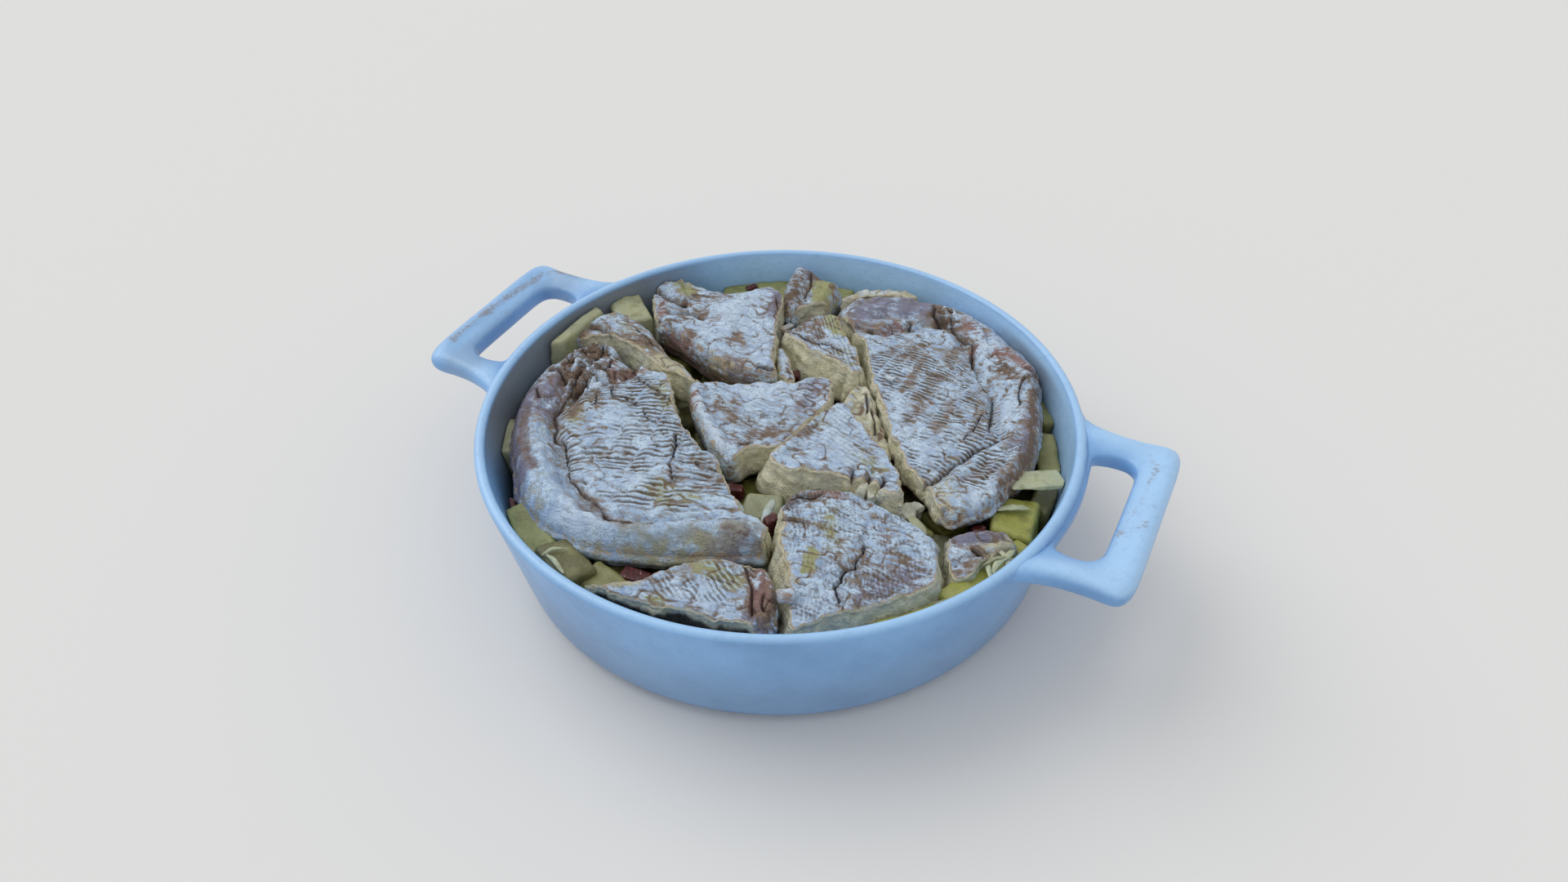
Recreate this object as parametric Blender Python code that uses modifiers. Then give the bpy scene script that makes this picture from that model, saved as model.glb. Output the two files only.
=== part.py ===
"""Tartiflette, uncooked: a round eared oven dish filled with potato dice and lardons, covered with
the cut-up halves of one washed-rind cheese wheel, rind side up.

The dish stands on z = 0 with its axis on Z and its two ears along X. Lengths in the tables are in
millimetres and are turned into metres by MM.
"""

import math

import bmesh
import bpy
import numpy as np
from mathutils import Euler, Matrix, Vector

MM = 0.001

# Dish
RIM_RADIUS = 115.0
RIM_HEIGHT = 56.0
FOOT_RADIUS = 105.0
FOOT_ROUNDING = 6.0
FLOOR_THICKNESS = 5.0
WALL = 4.0
WALL_LEAN = 0.18  # how far the wall leans out for each millimetre of height
CORNER_ROUNDING = 12.0  # inside, between the floor and the wall
DISH_STEPS = 72

# Ears: for the half of the one at +X that has positive Y, the hole's edge and the outer edge seen from
# above, step by step from the bar over the arm to the rim, where the outer edge runs inside the wall.
EAR_HOLE = [(131.2, 0), (131.2, 11), (131.0, 19.5), (129.8, 24.2), (126.5, 26.8), (122.5, 27.4), (118.0, 26.6),
            (115.0, 24.4), (115.6, 19.0), (116.8, 9.0), (117.2, 0)]
EAR_OUTER = [(144.2, 0), (144.2, 17), (144.0, 30), (142.9, 36.4), (139.8, 39.6), (131.0, 39.3), (121.0, 39.9),
             (111.5, 42.2), (102.3, 46.0), (108.0, 30.0), (112.3, 0)]
EAR_BOTTOM = 47.5
EAR_OFFSET = 1.5  # how far both ears are set off the dish's middle, towards +Y
EAR_LEFT_REACH = (-0.7, 2.3)  # how much further the bar of the ear at -X stands out, at its front and its back
EAR_CREST = [58.0, 58.0, 57.9, 57.7, 57.3, 56.8, 56.4, 55.8, 55.0, 55.0, 55.0]
EAR_SECTION = [(0.0, 0.35), (0.02, 0.66), (0.14, 0.79), (0.42, 0.9), (0.66, 1.0), (0.87, 0.95), (1.0, 0.7),
               (0.94, 0.28), (0.68, 0.04), (0.32, 0.0), (0.08, 0.06)]

# Filling
GAP = 0.4  # between any two pieces
BED_TOP = 34.6  # level of the potato bed under the cheese
CHEESE_BASE = BED_TOP + GAP
EDGE_CUT = 1.4  # rounding of the rind's edge along a cut side

# Each cheese piece, seen from above: the runs of its outline, in order, say whether that side is the
# wheel's own rind or a cut, and how far its foot stands out; level is its top, tilt its slope along X and
# Y, base how far its underside is lifted off the bed at its middle and along X and Y, folds are (rise,
# width, line) on its top.
CHEESE = {
    "half_wheel_left": dict(
        sides=[
            ("rind", 0, [(26, -61), (19, -65), (8, -71), (-5, -78), (-20, -83.5), (-35, -86), (-50, -84.5),
                         (-60, -81), (-70, -74), (-79, -65), (-89, -54.5), (-98, -40.5), (-103, -27),
                         (-104, -13), (-101, -2), (-96.5, 5), (-91, 10), (-82.5, 10), (-74, 6)]),
            ("cut", 0, [(-66, 4), (-60, 1.5), (-53.5, 3.3), (-46.5, -4), (-39.7, -11.6), (-32.5, -20),
                        (-21.5, -26.4), (-11.5, -31), (-0.5, -41), (8.2, -47.7), (13.2, -52.5),
                        (18.5, -51.6), (24.5, -56)]),
        ],
        level=49.0, tilt=(0.0, 0.02), shoulder=7.0, tips=((25, -58), (-87, 10.5)), steps=32,
        folds=[
            (-3.0, 2.6, [(-66, -2), (-74, -12), (-79, -23), (-80, -35), (-75, -46), (-66, -54), (-58, -64),
                         (-48, -70), (-37, -74), (-28, -77)]),
            (2.2, 6.0, [(-88, 3), (-92, -15), (-90, -33), (-82, -48), (-72, -61), (-58, -73), (-44, -79)]),
            (3.0, 3.0, [(-30, -79), (-17, -77), (-8, -73), (2, -66), (10, -62), (19, -57)]),
        ],
    ),
    "half_wheel_right": dict(
        sides=[
            ("rind", 0, [(74.5, -20.5), (79.5, -21.5), (84.5, -15.5), (88.5, -8), (91.5, 2), (94, 10.5),
                         (95, 19), (94, 31), (91.5, 42), (88, 53), (85, 62), (82.5, 70), (79.5, 77),
                         (74, 83), (65.5, 88.5), (56.5, 94.5), (47.5, 99.5), (38, 102.5), (28, 103),
                         (20, 101.2), (11.4, 98.2), (1.8, 94.6), (-5.5, 90), (-10.8, 84), (-12.2, 77.9)]),
            ("cut", 0, [(-8, 74.5), (-3, 69.5), (3, 63.5), (8, 61), (12.5, 54), (17, 46), (22, 38.5),
                        (30.5, 27), (38.5, 15.5), (45.5, 6), (51, 0), (56, -4.5), (61, -9), (66, -11.5),
                        (70, -16.5)]),
        ],
        level=49.5, tilt=(0.0, 0.0), shoulder=5.0, tips=((72, -19), (-10, 77)), steps=32, base=(2.0, 0.0, -0.075),
        folds=[
            (-3.0, 2.4, [(2, 68), (14, 70), (21, 76), (27, 84), (36, 86), (44, 81), (52, 72), (60, 61),
                         (69, 51), (73, 38), (79, 29)]),
            (2.2, 7.0, [(-4, 80), (4, 89), (18, 93), (33, 94), (48, 88), (62, 78), (76, 68), (82, 50),
                        (86, 35), (88, 18), (84, 2), (78, -12)]),
            (-2.0, 2.0, [(83, 27), (74, 16), (71, 6), (68, -4), (64, -10)]),
        ],
    ),
    "wedge_back_left": dict(
        sides=[
            ("rind", 0, [(-14.5, 23.5), (-23, 20.5), (-32, 20.5), (-45, 23), (-56, 27.5), (-66, 31),
                         (-73, 32)]),
            ("cut", 0, [(-78, 32.5), (-85, 42), (-91, 50), (-94, 57), (-93.5, 65.5), (-88, 68.5),
                        (-80, 66), (-66, 64.8), (-56, 66.5), (-49.5, 73), (-45, 78), (-39.5, 77.5),
                        (-35.5, 71), (-30.5, 59), (-26.5, 47), (-23.8, 40), (-18.5, 30)]),
        ],
        level=50.5, tilt=(0.02, -0.02), shoulder=3.5, tips=((-14.5, 24), (-76, 32)), steps=22,
        folds=[
            (2.5, 9.0, [(-47, 72), (-50, 50), (-47, 32)]),
            (-2.5, 3.0, [(-92, 55), (-80, 51), (-72, 43), (-64, 45)]),
        ],
    ),
    "edge_strip_left": dict(
        sides=[
            ("rind", 0, [(-99, 8.5), (-103.5, 7.5), (-105.5, 13), (-104, 21), (-98, 29), (-91, 33), (-82, 29.5),
                         (-75, 25.8), (-60.5, 17), (-48.5, 11.8)]),
            ("cut", 0, [(-39.5, 7.5), (-44, 5.5), (-52, 7.5), (-60, 8), (-68, 10), (-76, 13.5),
                        (-84, 15.5), (-92, 14.5), (-96.5, 11.5)]),
        ],
        level=49.5, tilt=(-0.03, 0.0), shoulder=3.0, tips=((-39.5, 8.5), (-98, 9)), steps=20,
        folds=[(1.5, 6.0, [(-94, 23), (-76, 19)])],
    ),
    "wedge_back": dict(
        sides=[
            ("rind", 0, [(-18.3, 80.5), (-17.5, 85.8), (-17, 91), (-20.2, 96.2), (-28.5, 96.6),
                         (-35.6, 98.1), (-41.5, 95.9), (-41.6, 88.4), (-38.8, 80.2), (-34, 73),
                         (-31, 68)]),
            ("cut", 0, [(-28, 70), (-25.5, 77)]),
        ],
        level=50.5, tilt=(-0.12, 0.1), shoulder=3.5, tips=((-30, 68), (-19, 95)), steps=14,
        folds=[(3.0, 5.0, [(-38, 92), (-36, 80)])],
    ),
    "wedge_upper": dict(
        sides=[
            ("cut", 1, [(-24, 49.5), (-18, 46), (-8, 42.5), (2, 41), (10, 39), (15, 36.6)]),
            ("cut", 0, [(17, 40.5), (11.2, 49.4), (5.4, 55.7), (-1, 62.3), (-6.3, 67.8)]),
            ("rind", 0, [(-12.5, 72.5), (-17.5, 68.3), (-20, 62.3), (-22.3, 55.3)]),
        ],
        level=51.0, tilt=(-0.02, -0.03), shoulder=2.5, tips=((-24, 50), (16, 38)), steps=18,
        folds=[],
    ),
    "wedge_centre": dict(
        sides=[
            ("rind", 0, [(-42.5, 2), (-38, -4.5), (-30, -12.5), (-20, -21), (-12, -27), (-7, -30)]),
            ("cut", 0, [(-4.5, -27), (-3.5, -21.5), (-0.5, -18.5), (4, -17), (7, -15.2), (8.8, -8.5),
                        (10.4, -2), (12.2, 5), (14, 11.5), (13.2, 20), (10.6, 25.6), (8.2, 28.6), (5.2, 29.2),
                        (0, 25.8), (-5, 20.6), (-12, 19.4), (-20, 13.3), (-32, 9), (-40, 5.6)]),
        ],
        level=49.5, tilt=(0.03, 0.04), shoulder=3.0, tips=((-43, 3), (7.5, 28.5)), steps=20,
        folds=[(-1.5, 8.0, [(-14, 4), (-4, -8)])],
    ),
    "wedge_right": dict(
        sides=[
            ("cut", 0, [(20.3, 17), (24.3, 14.2), (31.3, 8.6), (38.8, 3.5), (45, -0.6), (50.5, -5.6),
                        (54.5, -10.8)]),
            ("cut", 2, [(58, -17), (55.5, -21), (48, -19.5), (42, -19), (36, -21), (29, -22.5),
                        (21, -25), (14, -27)]),
            ("cut", 4, [(9.5, -25.5), (7.5, -22)]),
            ("cut", 0, [(8.5, -15), (10.8, -5), (12.2, 2), (14.5, 9), (17.5, 14.8)]),
        ],
        level=50.5, tilt=(-0.02, 0.0), shoulder=2.0, tips=((20, 17), (58, -15)), steps=20,
        folds=[(1.5, 12.0, [(18, 5), (30, -10)])],
    ),
    "wedge_front": dict(
        sides=[
            ("rind", 0, [(24, -46.5), (24.5, -39.5), (28.5, -33), (35, -28.8), (43, -27.2), (52, -27.6),
                         (60, -29.3), (69, -31.4), (77.5, -34.5)]),
            ("cut", 0, [(81, -40), (83, -47), (85, -54), (82, -59), (77, -64), (71, -69), (64, -76),
                        (58, -81), (55.5, -87), (52, -91), (48.5, -86), (46, -80), (41.5, -73),
                        (37, -67), (32, -61.5), (29.5, -57), (28, -51.5)]),
        ],
        level=50.0, tilt=(-0.03, 0.05), shoulder=3.0, tips=((26, -46), (52, -91)), steps=22,
        folds=[(-2.5, 1.6, [(56, -42), (58, -54), (57, -64), (58, -74)]), (1.5, 8.0, [(40, -45), (48, -70)])],
    ),
    "wedge_front_left": dict(
        sides=[
            ("cut", 0, [(-20.5, -102.3), (-16, -100.6), (-10.5, -98), (-5, -95), (-1, -90.8), (5, -84.5), (11, -80.3),
                        (15, -77.7), (22, -75.8), (29, -75.2), (34, -74)]),
            ("rind", 0, [(39, -78), (43, -84), (45.5, -91.5)]),
            ("cut", 0, [(40, -94.5), (33, -95.5), (25, -97), (15, -98.5), (6, -100), (-3, -101.5),
                        (-10, -102.5)]),
        ],
        level=48.0, tilt=(0.02, 0.2), shoulder=3.0, tips=((-20.5, -102.5), (45.5, -91.5)), steps=20, base=(2.0, 0.0, 0.1),
        folds=[],
    ),
    "scrap_right": dict(
        sides=[
            ("rind", 0, [(79.8, -31.2), (81.2, -27.6), (88.2, -23.6), (96, -18.9), (100.5, -19.4),
                         (103.4, -23.6)]),
            ("cut", 0, [(97.5, -27.6), (95, -34), (94, -41), (89.2, -45.6), (85.8, -41), (83, -36)]),
        ],
        level=47.5, tilt=(0.0, 0.08), shoulder=2.0, tips=((80, -31), (103, -23.6)), steps=14,
        folds=[],
    ),
    "crumbled_wedge": dict(
        sides=[
            ("cut", 0, [(17.5, 34), (22, 35.6), (28.8, 26.8), (36, 16.6), (42, 8.2), (45, 3),
                        (39.6, 4.9), (32.2, 9.9), (25.4, 15.2), (21.5, 18.4), (17.6, 22.6), (15.5, 28.4)]),
        ],
        level=45.5, tilt=(-0.06, 0.06), shoulder=2.0, tips=((17.5, 34), (45, 3)), steps=14,
        folds=[],
    ),
    "rind_sliver": dict(
        sides=[
            ("cut", 0, [(-23, 44.6), (-19.6, 43.4), (-14.6, 37.6), (-9, 29.6), (-6, 24), (-9.5, 22.9),
                        (-14, 26.8), (-18, 32.8), (-21.8, 38.6)]),
        ],
        level=47.0, tilt=(0.0, 0.03), shoulder=1.5, tips=((-22.8, 44), (-7.5, 23)), steps=10,
        folds=[],
    ),
    "rind_strip_back": dict(
        sides=[
            ("cut", 0, [(-14.8, 87), (-12.5, 93.5), (-7, 99.6), (0, 103.2), (7, 105.6), (14, 106.2),
                        (16.5, 103.4), (10.5, 100.6), (1, 97.2), (-6.5, 92.6), (-11.6, 86.6)]),
        ],
        level=48.5, tilt=(0.0, 0.0), shoulder=1.5, tips=((-14.8, 87), (16.5, 105)), steps=14,
        folds=[],
    ),
}

# Potato pieces that show round and between the cheese: middle seen from above, level of the top,
# length, width and depth, turn about Z and lean about the piece's own length, in degrees.
POTATO = [
    (-104.5, 12.4, 53.0, 30.0, 6.4, 24.0, 87, 0),
    (-94.0, 37.0, 50.5, 20.5, 15.0, 16.0, -40, 0),
    (-55.0, 86.0, 41.5, 32.0, 14.0, 16.0, 33, 10),
    (-84.0, 60.0, 38.0, 22.0, 18.0, 12.0, 60, 5),
    (-25.0, 101.0, 43.0, 22.0, 8.0, 14.0, 13, 8),
    (97.5, 37.0, 41.0, 25.0, 9.0, 18.0, 112, -8),
    (86.5, 63.0, 42.0, 24.0, 8.0, 14.0, 122, 8),
    (100.0, 11.5, 46.5, 20.0, 14.5, 5.5, 78, 0),
    (97.3, -4.0, 42.5, 19.0, 16.5, 16.0, -78, 0),
    (97.0, -34.0, 41.5, 38.0, 14.0, 12.0, 56, 6),
    (80.0, -64.0, 39.5, 26.0, 12.0, 12.0, 52, 6),
    (66.5, -23.5, 41.0, 15.0, 9.0, 12.0, -30, 0),
    (11.5, -37.0, 39.0, 15.0, 12.0, 10.0, 20, 4),
    (-57.0, -86.0, 41.5, 27.0, 11.0, 14.0, -27, 8),
    (-35.5, -94.0, 42.5, 20.0, 13.0, 16.0, -25, -4),
    (-19.0, -93.5, 38.5, 20.0, 13.0, 12.0, -12, 8),
    (-95.5, -50.0, 41.5, 20.0, 8.0, 14.0, -58, 6),
    (-6.0, 33.0, 38.5, 16.0, 10.0, 10.0, 30, 0),
]
POTATO_EDGE = 1.6  # rounding of a cut potato edge

# Lardons in the gaps: middle, level of the top, length, width, depth, turn about Z.
LARDON = [
    (-1.8, -33.0, 39.0, 7.0, 4.5, 6.0, 20),
    (20.0, -45.3, 43.5, 5.5, 4.2, 8.0, 60),
    (50.5, 1.2, 39.0, 11.0, 4.0, 5.0, -48),
    (87.5, -15.8, 38.5, 8.0, 5.0, 6.0, -70),
    (78.4, -68.6, 41.5, 10.0, 3.4, 5.0, 44),
    (-10.5, -85.5, 38.0, 11.0, 6.0, 6.0, 10),
    (-70.4, -77.8, 38.0, 9.0, 3.2, 4.0, -45),
    (-59.5, 85.5, 43.5, 5.5, 3.5, 5.5, 60),
    (-12.6, 38.8, 40.0, 4.5, 3.0, 6.0, -60),
]
LARDON_EDGE = 0.9

# Small loose scraps: middle, level of the top, length, width, depth, turn about Z.
SCRAPS = {
    "crumb_white": (29.0, 40.0, 52.4, 5.5, 3.6, 2.4, -10),
    "crumb_back": (-25.8, 56.6, 49.5, 6.5, 4.6, 9.0, 75),
    "rind_nub": (44.6, -81.2, 53.2, 6.4, 4.8, 3.4, 35),
}
SCRAP_EDGE = 1.1

# Hollows in the bed where the filling has sunk: middle, depth under BED_TOP and radius.
HOLLOWS = [(-88.0, -63.0, 14.0, 17.0)]


def clear_scene():
    for thing in list(bpy.data.objects):
        bpy.data.objects.remove(thing, do_unlink=True)


def finish(name, colour, roughness):
    made = bpy.data.materials.new(name)
    made.use_nodes = True
    shader = made.node_tree.nodes["Principled BSDF"]
    shader.inputs["Base Color"].default_value = (*colour, 1.0)
    shader.inputs["Roughness"].default_value = roughness
    shader.inputs["Metallic"].default_value = 0.0
    return made


def collection(name):
    made = bpy.data.collections.new(name)
    bpy.context.scene.collection.children.link(made)
    return made


def add_object(name, mesh, into, material=None):
    made = bpy.data.objects.new(name, mesh)
    into.objects.link(made)
    if material:
        mesh.materials.append(material)
    return made


def smooth(mesh, angle=40.0):
    mesh.shade_smooth()
    mesh.set_sharp_from_angle(angle=math.radians(angle))


def applied(thing):
    """Replaces the object's mesh by what its modifiers make of it."""
    bpy.context.view_layer.update()
    graph = bpy.context.evaluated_depsgraph_get()
    mesh = bpy.data.meshes.new_from_object(thing.evaluated_get(graph))
    old = thing.data
    thing.modifiers.clear()
    thing.data = mesh
    if isinstance(old, bpy.types.Mesh):
        bpy.data.meshes.remove(old)


def boolean(thing, operation, operand):
    """One Boolean with an object or a collection, applied."""
    modifier = thing.modifiers.new(operation.lower(), "BOOLEAN")
    modifier.operation = operation
    modifier.solver = "EXACT"
    if isinstance(operand, bpy.types.Collection):
        modifier.operand_type = "COLLECTION"
        modifier.collection = operand
    else:
        modifier.object = operand
    applied(thing)


def keep_largest(mesh):
    """Drops the loose scraps that cutting leaves."""
    bm = bmesh.new()
    bm.from_mesh(mesh)
    left = set(bm.verts)
    bodies = []
    while left:
        body = {left.pop()}
        edge = list(body)
        while edge:
            near = {link.other_vert(vertex) for vertex in edge for link in vertex.link_edges}
            edge = list(near & left)
            left -= set(edge)
            body |= set(edge)
        bodies.append(body)
    bodies.sort(key=len)
    bmesh.ops.delete(bm, geom=[vertex for body in bodies[:-1] for vertex in body], context="VERTS")
    bm.to_mesh(mesh)
    bm.free()


def remove(things):
    for thing in list(things):
        bpy.data.objects.remove(thing, do_unlink=True)


# ---- dish


def arc(centre, radius, start, stop, steps):
    """Points of an arc in the profile plane, angles in degrees."""
    angles = np.radians(np.linspace(start, stop, steps + 1))
    return [(centre[0] + radius * math.cos(a), centre[1] + radius * math.sin(a)) for a in angles]


def outer_radius(z):
    return RIM_RADIUS - WALL_LEAN * (RIM_HEIGHT - WALL / 2 - z)


def inner_radius(z):
    """Radius of the bowl's inside at height z, rounded where the wall meets the floor."""
    wall = outer_radius(z) - WALL
    rise = z - FLOOR_THICKNESS
    if rise >= CORNER_ROUNDING:
        return wall
    dip = CORNER_ROUNDING - max(rise, 0.0)
    return wall - CORNER_ROUNDING + math.sqrt(max(CORNER_ROUNDING**2 - dip**2, 0.0))


def inner_profile(inset, top):
    """(radius, height) down the inside of the bowl, moved inwards by inset, from the height top to the floor."""
    heights = [top, (top + 17.0) / 2, 17.0, 12.0, 8.5, 6.2, FLOOR_THICKNESS]
    return [(inner_radius(z) - inset, z + inset * (z < 17.0)) for z in heights]


def dish_profile():
    """The dish's section from its axis: up the outside, over the rounded rim and down the inside."""
    lip = RIM_HEIGHT - WALL / 2
    under = arc((FOOT_RADIUS - FOOT_ROUNDING, FOOT_ROUNDING), FOOT_ROUNDING, -90, -10, 4)
    rim = arc((RIM_RADIUS - WALL / 2, lip), WALL / 2, 0, 180, 6)
    inside = inner_profile(0.0, lip)[1:]
    return [(0.0, 0.0)] + under + rim + inside + [(0.0, FLOOR_THICKNESS)]


def dish_body(into, glaze):
    mesh = bpy.data.meshes.new("dish")
    profile = [(r * MM, 0.0, z * MM) for r, z in reversed(dish_profile())]
    mesh.from_pydata(profile, [(i, i + 1) for i in range(len(profile) - 1)], [])
    body = add_object("dish", mesh, into, glaze)
    turn = body.modifiers.new("turn", "SCREW")
    turn.axis = "Z"
    turn.angle = math.tau
    turn.steps = turn.render_steps = DISH_STEPS
    turn.use_merge_vertices = True
    turn.merge_threshold = 0.00001
    turn.use_smooth_shade = True
    applied(body)
    return body


def ear(side, into):
    """One ear, side +1 or -1: a ring whose steps are laid between the hole's edge and the outer edge."""
    half = len(EAR_HOLE)
    around = 2 * half - 2
    across = len(EAR_SECTION)
    mesh = bpy.data.meshes.new("ear")
    circle = bmesh.new()
    bmesh.ops.create_circle(circle, segments=across, radius=0.2)
    bmesh.ops.rotate(circle, verts=circle.verts, matrix=Matrix.Rotation(math.pi / 2, 3, "X"))
    bmesh.ops.translate(circle, verts=circle.verts, vec=(1.0, 0.0, 0.0))
    bmesh.ops.spin(circle, geom=circle.verts[:] + circle.edges[:], axis=(0.0, 0.0, 1.0), cent=(0.0, 0.0, 0.0),
                   angle=math.tau, steps=around, use_merge=True)
    first = circle.verts[:][0]
    start = math.atan2(first.co.z, math.hypot(first.co.x, first.co.y) - 1.0)
    for vertex in circle.verts:
        turn = math.atan2(vertex.co.y, vertex.co.x) % math.tau
        step = int(round(turn / math.tau * around)) % around
        roll = (math.atan2(vertex.co.z, math.hypot(vertex.co.x, vertex.co.y) - 1.0) - start) % math.tau
        share, rise = EAR_SECTION[int(round(roll / math.tau * across)) % across]
        at = min(step, around - step)
        flip = 1.0 if step < half else -1.0
        inner = Vector(EAR_HOLE[at])
        outer = Vector(EAR_OUTER[at])
        spot = inner.lerp(outer, share)
        if side < 0:
            front, back = EAR_LEFT_REACH
            reach = front + (back - front) * (0.5 + spot.y * flip / 80.0)
            spot.x += reach * min(max((spot.x - 118.0) / 10.0, 0.0), 1.0)
        height = EAR_BOTTOM + (EAR_CREST[at] - EAR_BOTTOM) * rise
        vertex.co = (spot.x * side * MM, (spot.y * flip + EAR_OFFSET) * MM, height * MM)
    bmesh.ops.remove_doubles(circle, verts=circle.verts, dist=0.00001)
    bmesh.ops.recalc_face_normals(circle, faces=circle.faces)
    circle.to_mesh(mesh)
    circle.free()
    return add_object("ear", mesh, into)


def make_dish(into, glaze):
    body = dish_body(into, glaze)
    ears = collection("ears")
    for side in (1, -1):
        ear(side, ears)
    boolean(body, "UNION", ears)
    remove(ears.objects)
    bpy.data.collections.remove(ears)
    smooth(body.data, 35.0)
    return body


# ---- cheese


def even_outline(sides, count, softness):
    """The outline as count evenly spaced points, its corners softened over softness millimetres, with
    which way is out, the share of rind and how far the foot of the side stands out, at each."""
    points = np.array([p for _, _, run in sides for p in run], float)
    rind = np.array([float(kind == "rind") for kind, _, run in sides for _ in run])
    foot = np.array([float(flare) for _, flare, run in sides for _ in run])
    loop = np.vstack([points, points[:1]])
    length = np.concatenate([[0.0], np.cumsum(np.hypot(*np.diff(loop, axis=0).T))])
    fine = 480
    at = np.linspace(0.0, length[-1], fine, endpoint=False)
    x, y = np.interp(at, length, loop[:, 0]), np.interp(at, length, loop[:, 1])
    part = np.minimum(np.searchsorted(length, at, side="right") - 1, len(rind) - 1)
    r, f = rind[part], foot[part]
    frequency = np.fft.rfftfreq(fine, d=length[-1] / fine)
    blur = np.exp(-2.0 * (math.pi * softness * frequency) ** 2)
    x, y, r, f = (np.fft.irfft(np.fft.rfft(v) * blur, fine) for v in (x, y, r, f))
    if np.sum(x * np.roll(y, -1) - y * np.roll(x, -1)) < 0:
        x, y, r, f = x[::-1], y[::-1], r[::-1], f[::-1]
    keep = (np.arange(count) * fine / count).astype(int)
    tangent = np.stack([np.roll(x, -6) - np.roll(x, 6), np.roll(y, -6) - np.roll(y, 6)], 1)
    tangent /= np.linalg.norm(tangent, axis=1)[:, None]
    outward = np.stack([tangent[:, 1], -tangent[:, 0]], 1)
    return np.stack([x, y], 1)[keep], outward[keep], np.clip(r[keep], 0, 1), f[keep]


def distance_to_line(points, line):
    """Distance from each point to a line of straight stretches."""
    nearest = np.full(len(points), 1e9)
    for a, b in zip(np.array(line[:-1], float), np.array(line[1:], float)):
        along = np.clip(((points - a) @ (b - a)) / ((b - a) @ (b - a)), 0, 1)
        gap = points - a - along[:, None] * (b - a)
        nearest = np.minimum(nearest, np.hypot(gap[:, 0], gap[:, 1]))
    return nearest


def top_level(piece, points, middle):
    """Height of the rind's surface above each point."""
    level = piece["level"] + (points - middle) @ np.array(piece["tilt"])
    for rise, width, line in piece["folds"]:
        level = level + rise * np.exp(-((distance_to_line(points, line) / width) ** 2))
    return level


def under_level(piece, points, middle):
    """Height of the underside, which never goes below the bed."""
    lift, along_x, along_y = piece.get("base", (0.0, 0.0, 0.0))
    return np.maximum(CHEESE_BASE, CHEESE_BASE + lift + (points - middle) @ np.array([along_x, along_y]))


def two_sides(piece, count):
    """The two sides of the outline from one tip to the other, each as count even steps: where it runs, how
    round its edge is and how far its foot stands out."""
    outline, _, is_rind, foot = even_outline(piece["sides"], 240, 1.2)
    start, stop = (int(np.argmin(np.hypot(*(outline - tip).T))) for tip in piece["tips"])
    edge = EDGE_CUT + (piece["shoulder"] - EDGE_CUT) * is_rind
    values = np.column_stack([outline, edge, foot])
    sides = []
    for step in (1, -1):
        reach = (stop - start) * step % len(values)
        run = values[(start + step * np.arange(reach + 1)) % len(values)]
        length = np.concatenate([[0.0], np.cumsum(np.hypot(*np.diff(run[:, :2], axis=0).T))])
        at = length[-1] * (0.5 - 0.5 * np.cos(math.pi * (0.12 + 0.88 * np.linspace(0.0, 1.0, count + 2)[1:-1])))
        at = (at - at[0]) / (at[-1] - at[0]) * length[-1] * 0.95 + length[-1] * 0.025
        sides.append(np.column_stack([np.interp(at, length, column) for column in run.T]))
    return sides


def section(across):
    """One upright section: which side a point belongs to, the share of the way over the top, the share of
    the edge's rounding that it stands in from the side, and how far down the side it is."""
    first = [(0.0, 0.0, 1.0), (0.0, 0.0, 0.5), (0.0, 0.0, 0.0), (0.0, 0.4, 0.0)]
    top = [(share, 1.0, 0.0) for share in across]
    second = [(1.0, inset, down) for _, inset, down in reversed(first)]
    return first + top + second + [(0.5, 0.0, 1.0)]


def make_cheese(name, piece, into, rind):
    """A ball whose poles are the piece's two tips and whose rings are upright sections between its sides."""
    spots = section((0.0, 0.15, 0.3, 0.5, 0.7, 0.85, 1.0) if piece["steps"] > 24 else (0.0, 0.5, 1.0))
    count = piece["steps"]
    first, second = two_sides(piece, count)
    outline = even_outline(piece["sides"], 240, 1.2)[0]
    middle = outline.mean(axis=0)
    bm = bmesh.new()
    bmesh.ops.create_uvsphere(bm, u_segments=len(spots), v_segments=count + 1, radius=1.0)
    for vertex in bm.verts:
        turn = math.atan2(vertex.co.y, vertex.co.x) / math.tau % 1.0
        share, inset, down = spots[int(round(turn * len(spots))) % len(spots)]
        ring = int(round(math.acos(max(-1.0, min(1.0, vertex.co.z))) / math.pi * (count + 1)))
        if ring in (0, count + 1):
            at = outline[int(np.argmin(np.hypot(*(outline - piece["tips"][ring > 0]).T)))]
            height = 0.45 * top_level(piece, at[None, :], middle)[0] + 0.55 * CHEESE_BASE
        else:
            near, far = first[ring - 1], second[ring - 1]
            across = far[:2] - near[:2]
            width = np.linalg.norm(across)
            edge = np.minimum((near[2], far[2]), 0.42 * width)
            if inset == 1.0:
                along, rounding = edge[0] + share * (width - edge.sum()), 0.0
            elif share == 0.0:
                along, rounding = edge[0] * inset - near[3] * down, edge[0]
            elif share == 1.0:
                along, rounding = width - edge[1] * inset + far[3] * down, edge[1]
            else:
                along, rounding = share * width, 0.0
            at = near[:2] + across / width * along
            top = top_level(piece, at[None, :], middle)[0] - rounding * (1.0 - inset) ** 2 * 0.9
            under = under_level(piece, at[None, :], middle)[0]
            height = top * (1 - down) + under * down
        reach = math.hypot(*at)
        limit = inner_radius(height) - 1.0
        if reach > limit:
            at = at * (limit / reach)
        vertex.co = (at[0] * MM, at[1] * MM, height * MM)
    if bm.calc_volume(signed=True) < 0:
        bmesh.ops.reverse_faces(bm, faces=bm.faces[:])
    mesh = bpy.data.meshes.new(name)
    bm.to_mesh(mesh)
    bm.free()
    smooth(mesh, 50.0)
    return add_object(name, mesh, into, rind)


# ---- potato bed and lardons


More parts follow.
